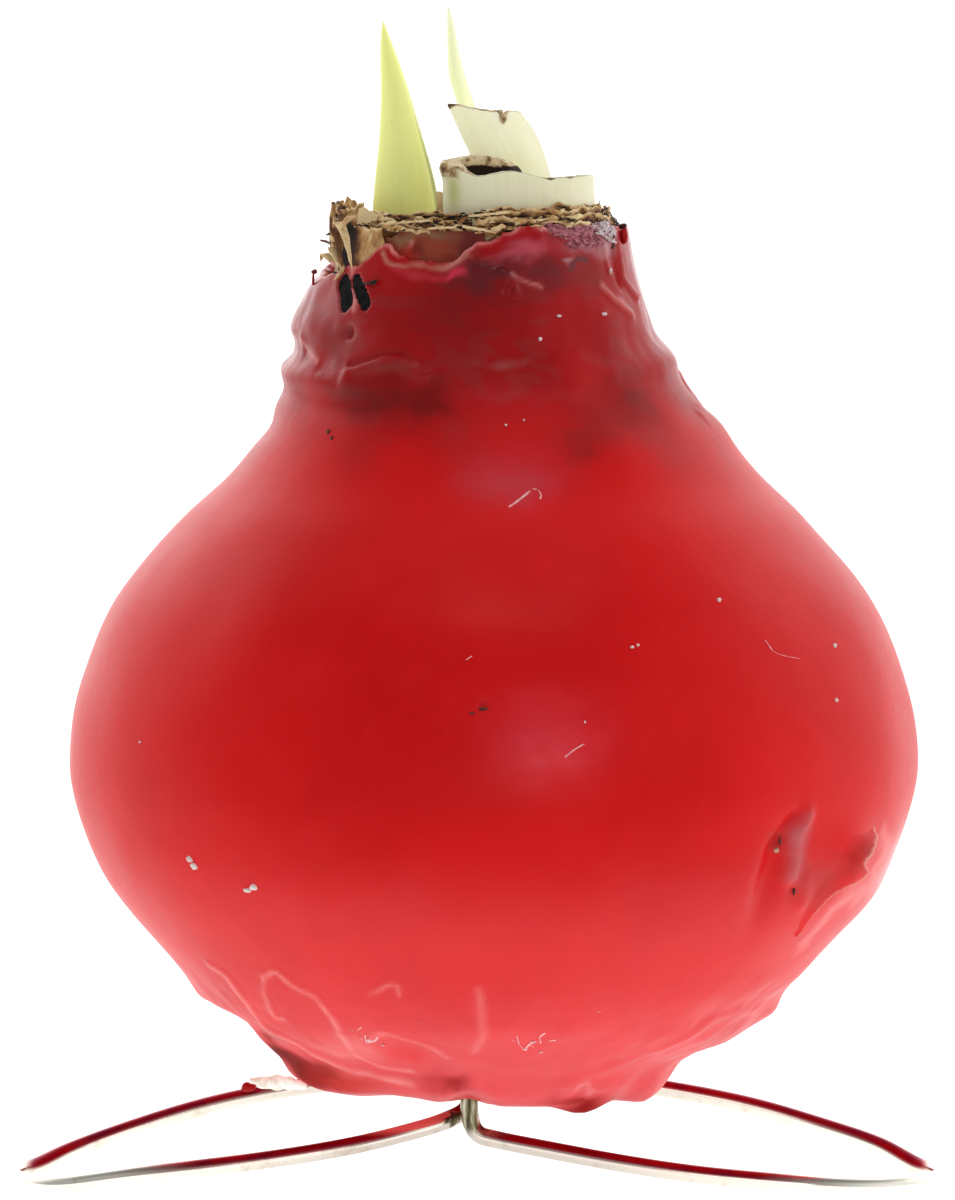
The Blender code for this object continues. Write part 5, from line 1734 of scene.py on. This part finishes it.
# White chips, some of them painted glints
chip_and_glint = plain_material("white_chip", (0.86, 0.80, 0.76), (0.70, 0.45, 0.42), 0.8, 0.5)
crumbs_on(wax, "white_chips", CHIPS_AND_GLINTS, 0.06, 0.2, chip_and_glint, 0)
scratches_on(wax, plain_material("pink_scratch", (0.95, 0.50, 0.50), (0.85, 0.22, 0.24), 0.6, 0.4))
tan = plain_material("tan_crumb_finish", (0.58, 0.38, 0.24), (0.36, 0.18, 0.10), 0.5, 0.6)
place(lump("tan_crumb", wax.at(776, 850, 0.1), (0.34, 0.2, 0.3), tan, 2.0), "dry_scale")
speck = plain_material("brown_speck", (0.10, 0.045, 0.02), (0.03, 0.012, 0.008), 0.5, 0.6)
crumbs_on(wax, "brown_specks", SPECKS, 0.04, 0.16, speck, 0.5)

# Surroundings

# How bright the room is, and the camera's sensor in mm
ROOM = 1.3
SENSOR = 36


def floor():
    """A pale floor that shines like a light table, less under the bulb, and that the camera sees
    as plain white."""
    side = 4.0
    data = bpy.data.meshes.new("floor")
    data.from_pydata(
        [(-side, -side, 0), (side, -side, 0), (side, side, 0), (-side, side, 0)], [], [(0, 1, 2, 3)]
    )
    s = Shader("pale_floor", roughness=0.6, specular_ior_level=0.1, emission_strength=ROOM)
    away = s.node("VectorMath", {0: s.place()}, output="Value", operation="LENGTH")
    front = s.node("SeparateXYZ", {"Vector": s.place()}, output="Y") * -1
    shine = 0.50 + away.between(0.010, 0.040) * 0.38
    shine = shine * (1 - front.between(0.055, 0.105) * 0.62)
    glow = s.mix(shine, (0.0, 0.0, 0.0), (1.0, 1.0, 1.0))
    watched = s.node("LightPath", output="Is Camera Ray")
    s.set("Emission Color", s.mix(watched, glow, (0.75, 0.75, 0.75)))
    s.set("Base Color", s.mix(s.noise(s.place(), 30, 2), (0.18, 0.18, 0.18), (0.24, 0.24, 0.24)))
    data.materials.append(s.material)
    linked("floor", data)


def soft_light(name, spot, aim, size, radiance):
    lamp = bpy.data.lights.new(name, "AREA")
    lamp.shape = "RECTANGLE"
    lamp.size, lamp.size_y = size
    lamp.energy = radiance * math.pi * size[0] * size[1]
    made = linked(name, lamp)
    made.location = spot
    made.rotation_euler = (Vector(aim) - made.location).to_track_quat("-Z", "Y").to_euler()


def surroundings():
    """A white room that is dark overhead and on the camera's side."""
    world = bpy.data.worlds.new("studio")
    bpy.context.scene.world = world
    world.use_nodes = True
    world.node_tree.nodes.clear()
    s = Nodes(world.node_tree)
    way = s.node("TexCoord", output="Generated")
    x, y, z = (s.node("SeparateXYZ", {"Vector": way}, output=axis) for axis in "XYZ")
    behind = y.between(-0.25, 0.90)
    right = x.between(0.35, 0.9)
    high = z.between(0.15, 0.5) * (1 - z.between(0.55, 0.9))
    light = 0.40 + behind * (1.5 - x.between(0.0, 0.5) * 0.5) + right * (1 - behind) * 0.5
    light = (light + behind * high * 0.5) * (1 - z.between(0.6, 0.95) * 0.5)
    lit = s.node("Background", {"Strength": light * ROOM})
    shown = s.node("Background", {"Strength": 1.1})
    watched = s.node("LightPath", output="Is Camera Ray")
    both = s.node("MixShader", {0: watched, 1: lit, 2: shown})
    out = s.tree.nodes.new("ShaderNodeOutputWorld")
    s.tree.links.new(both.socket, out.inputs["Surface"])


floor()
surroundings()
soft_light("overhead", (0.03, -0.20, 0.60), (0, 0, 0.08), (0.22, 0.16), 4.2)
soft_light("fill", (0.10, -0.60, 0.06), (0, 0, 0.05), (0.24, 0.20), 2.2)

lens = bpy.data.cameras.new("camera")
lens.sensor_width = SENSOR
lens.lens = SENSOR * DISTANCE / FRAME_HIGH
lens.clip_start = 0.01
camera = linked("camera", lens)
camera.location = camera_place() * MM
camera.rotation_euler = (LOOK_AT * MM - camera.location).to_track_quat("-Z", "Y").to_euler()
bpy.context.scene.camera = camera
bpy.context.scene.view_settings.view_transform = "Standard"
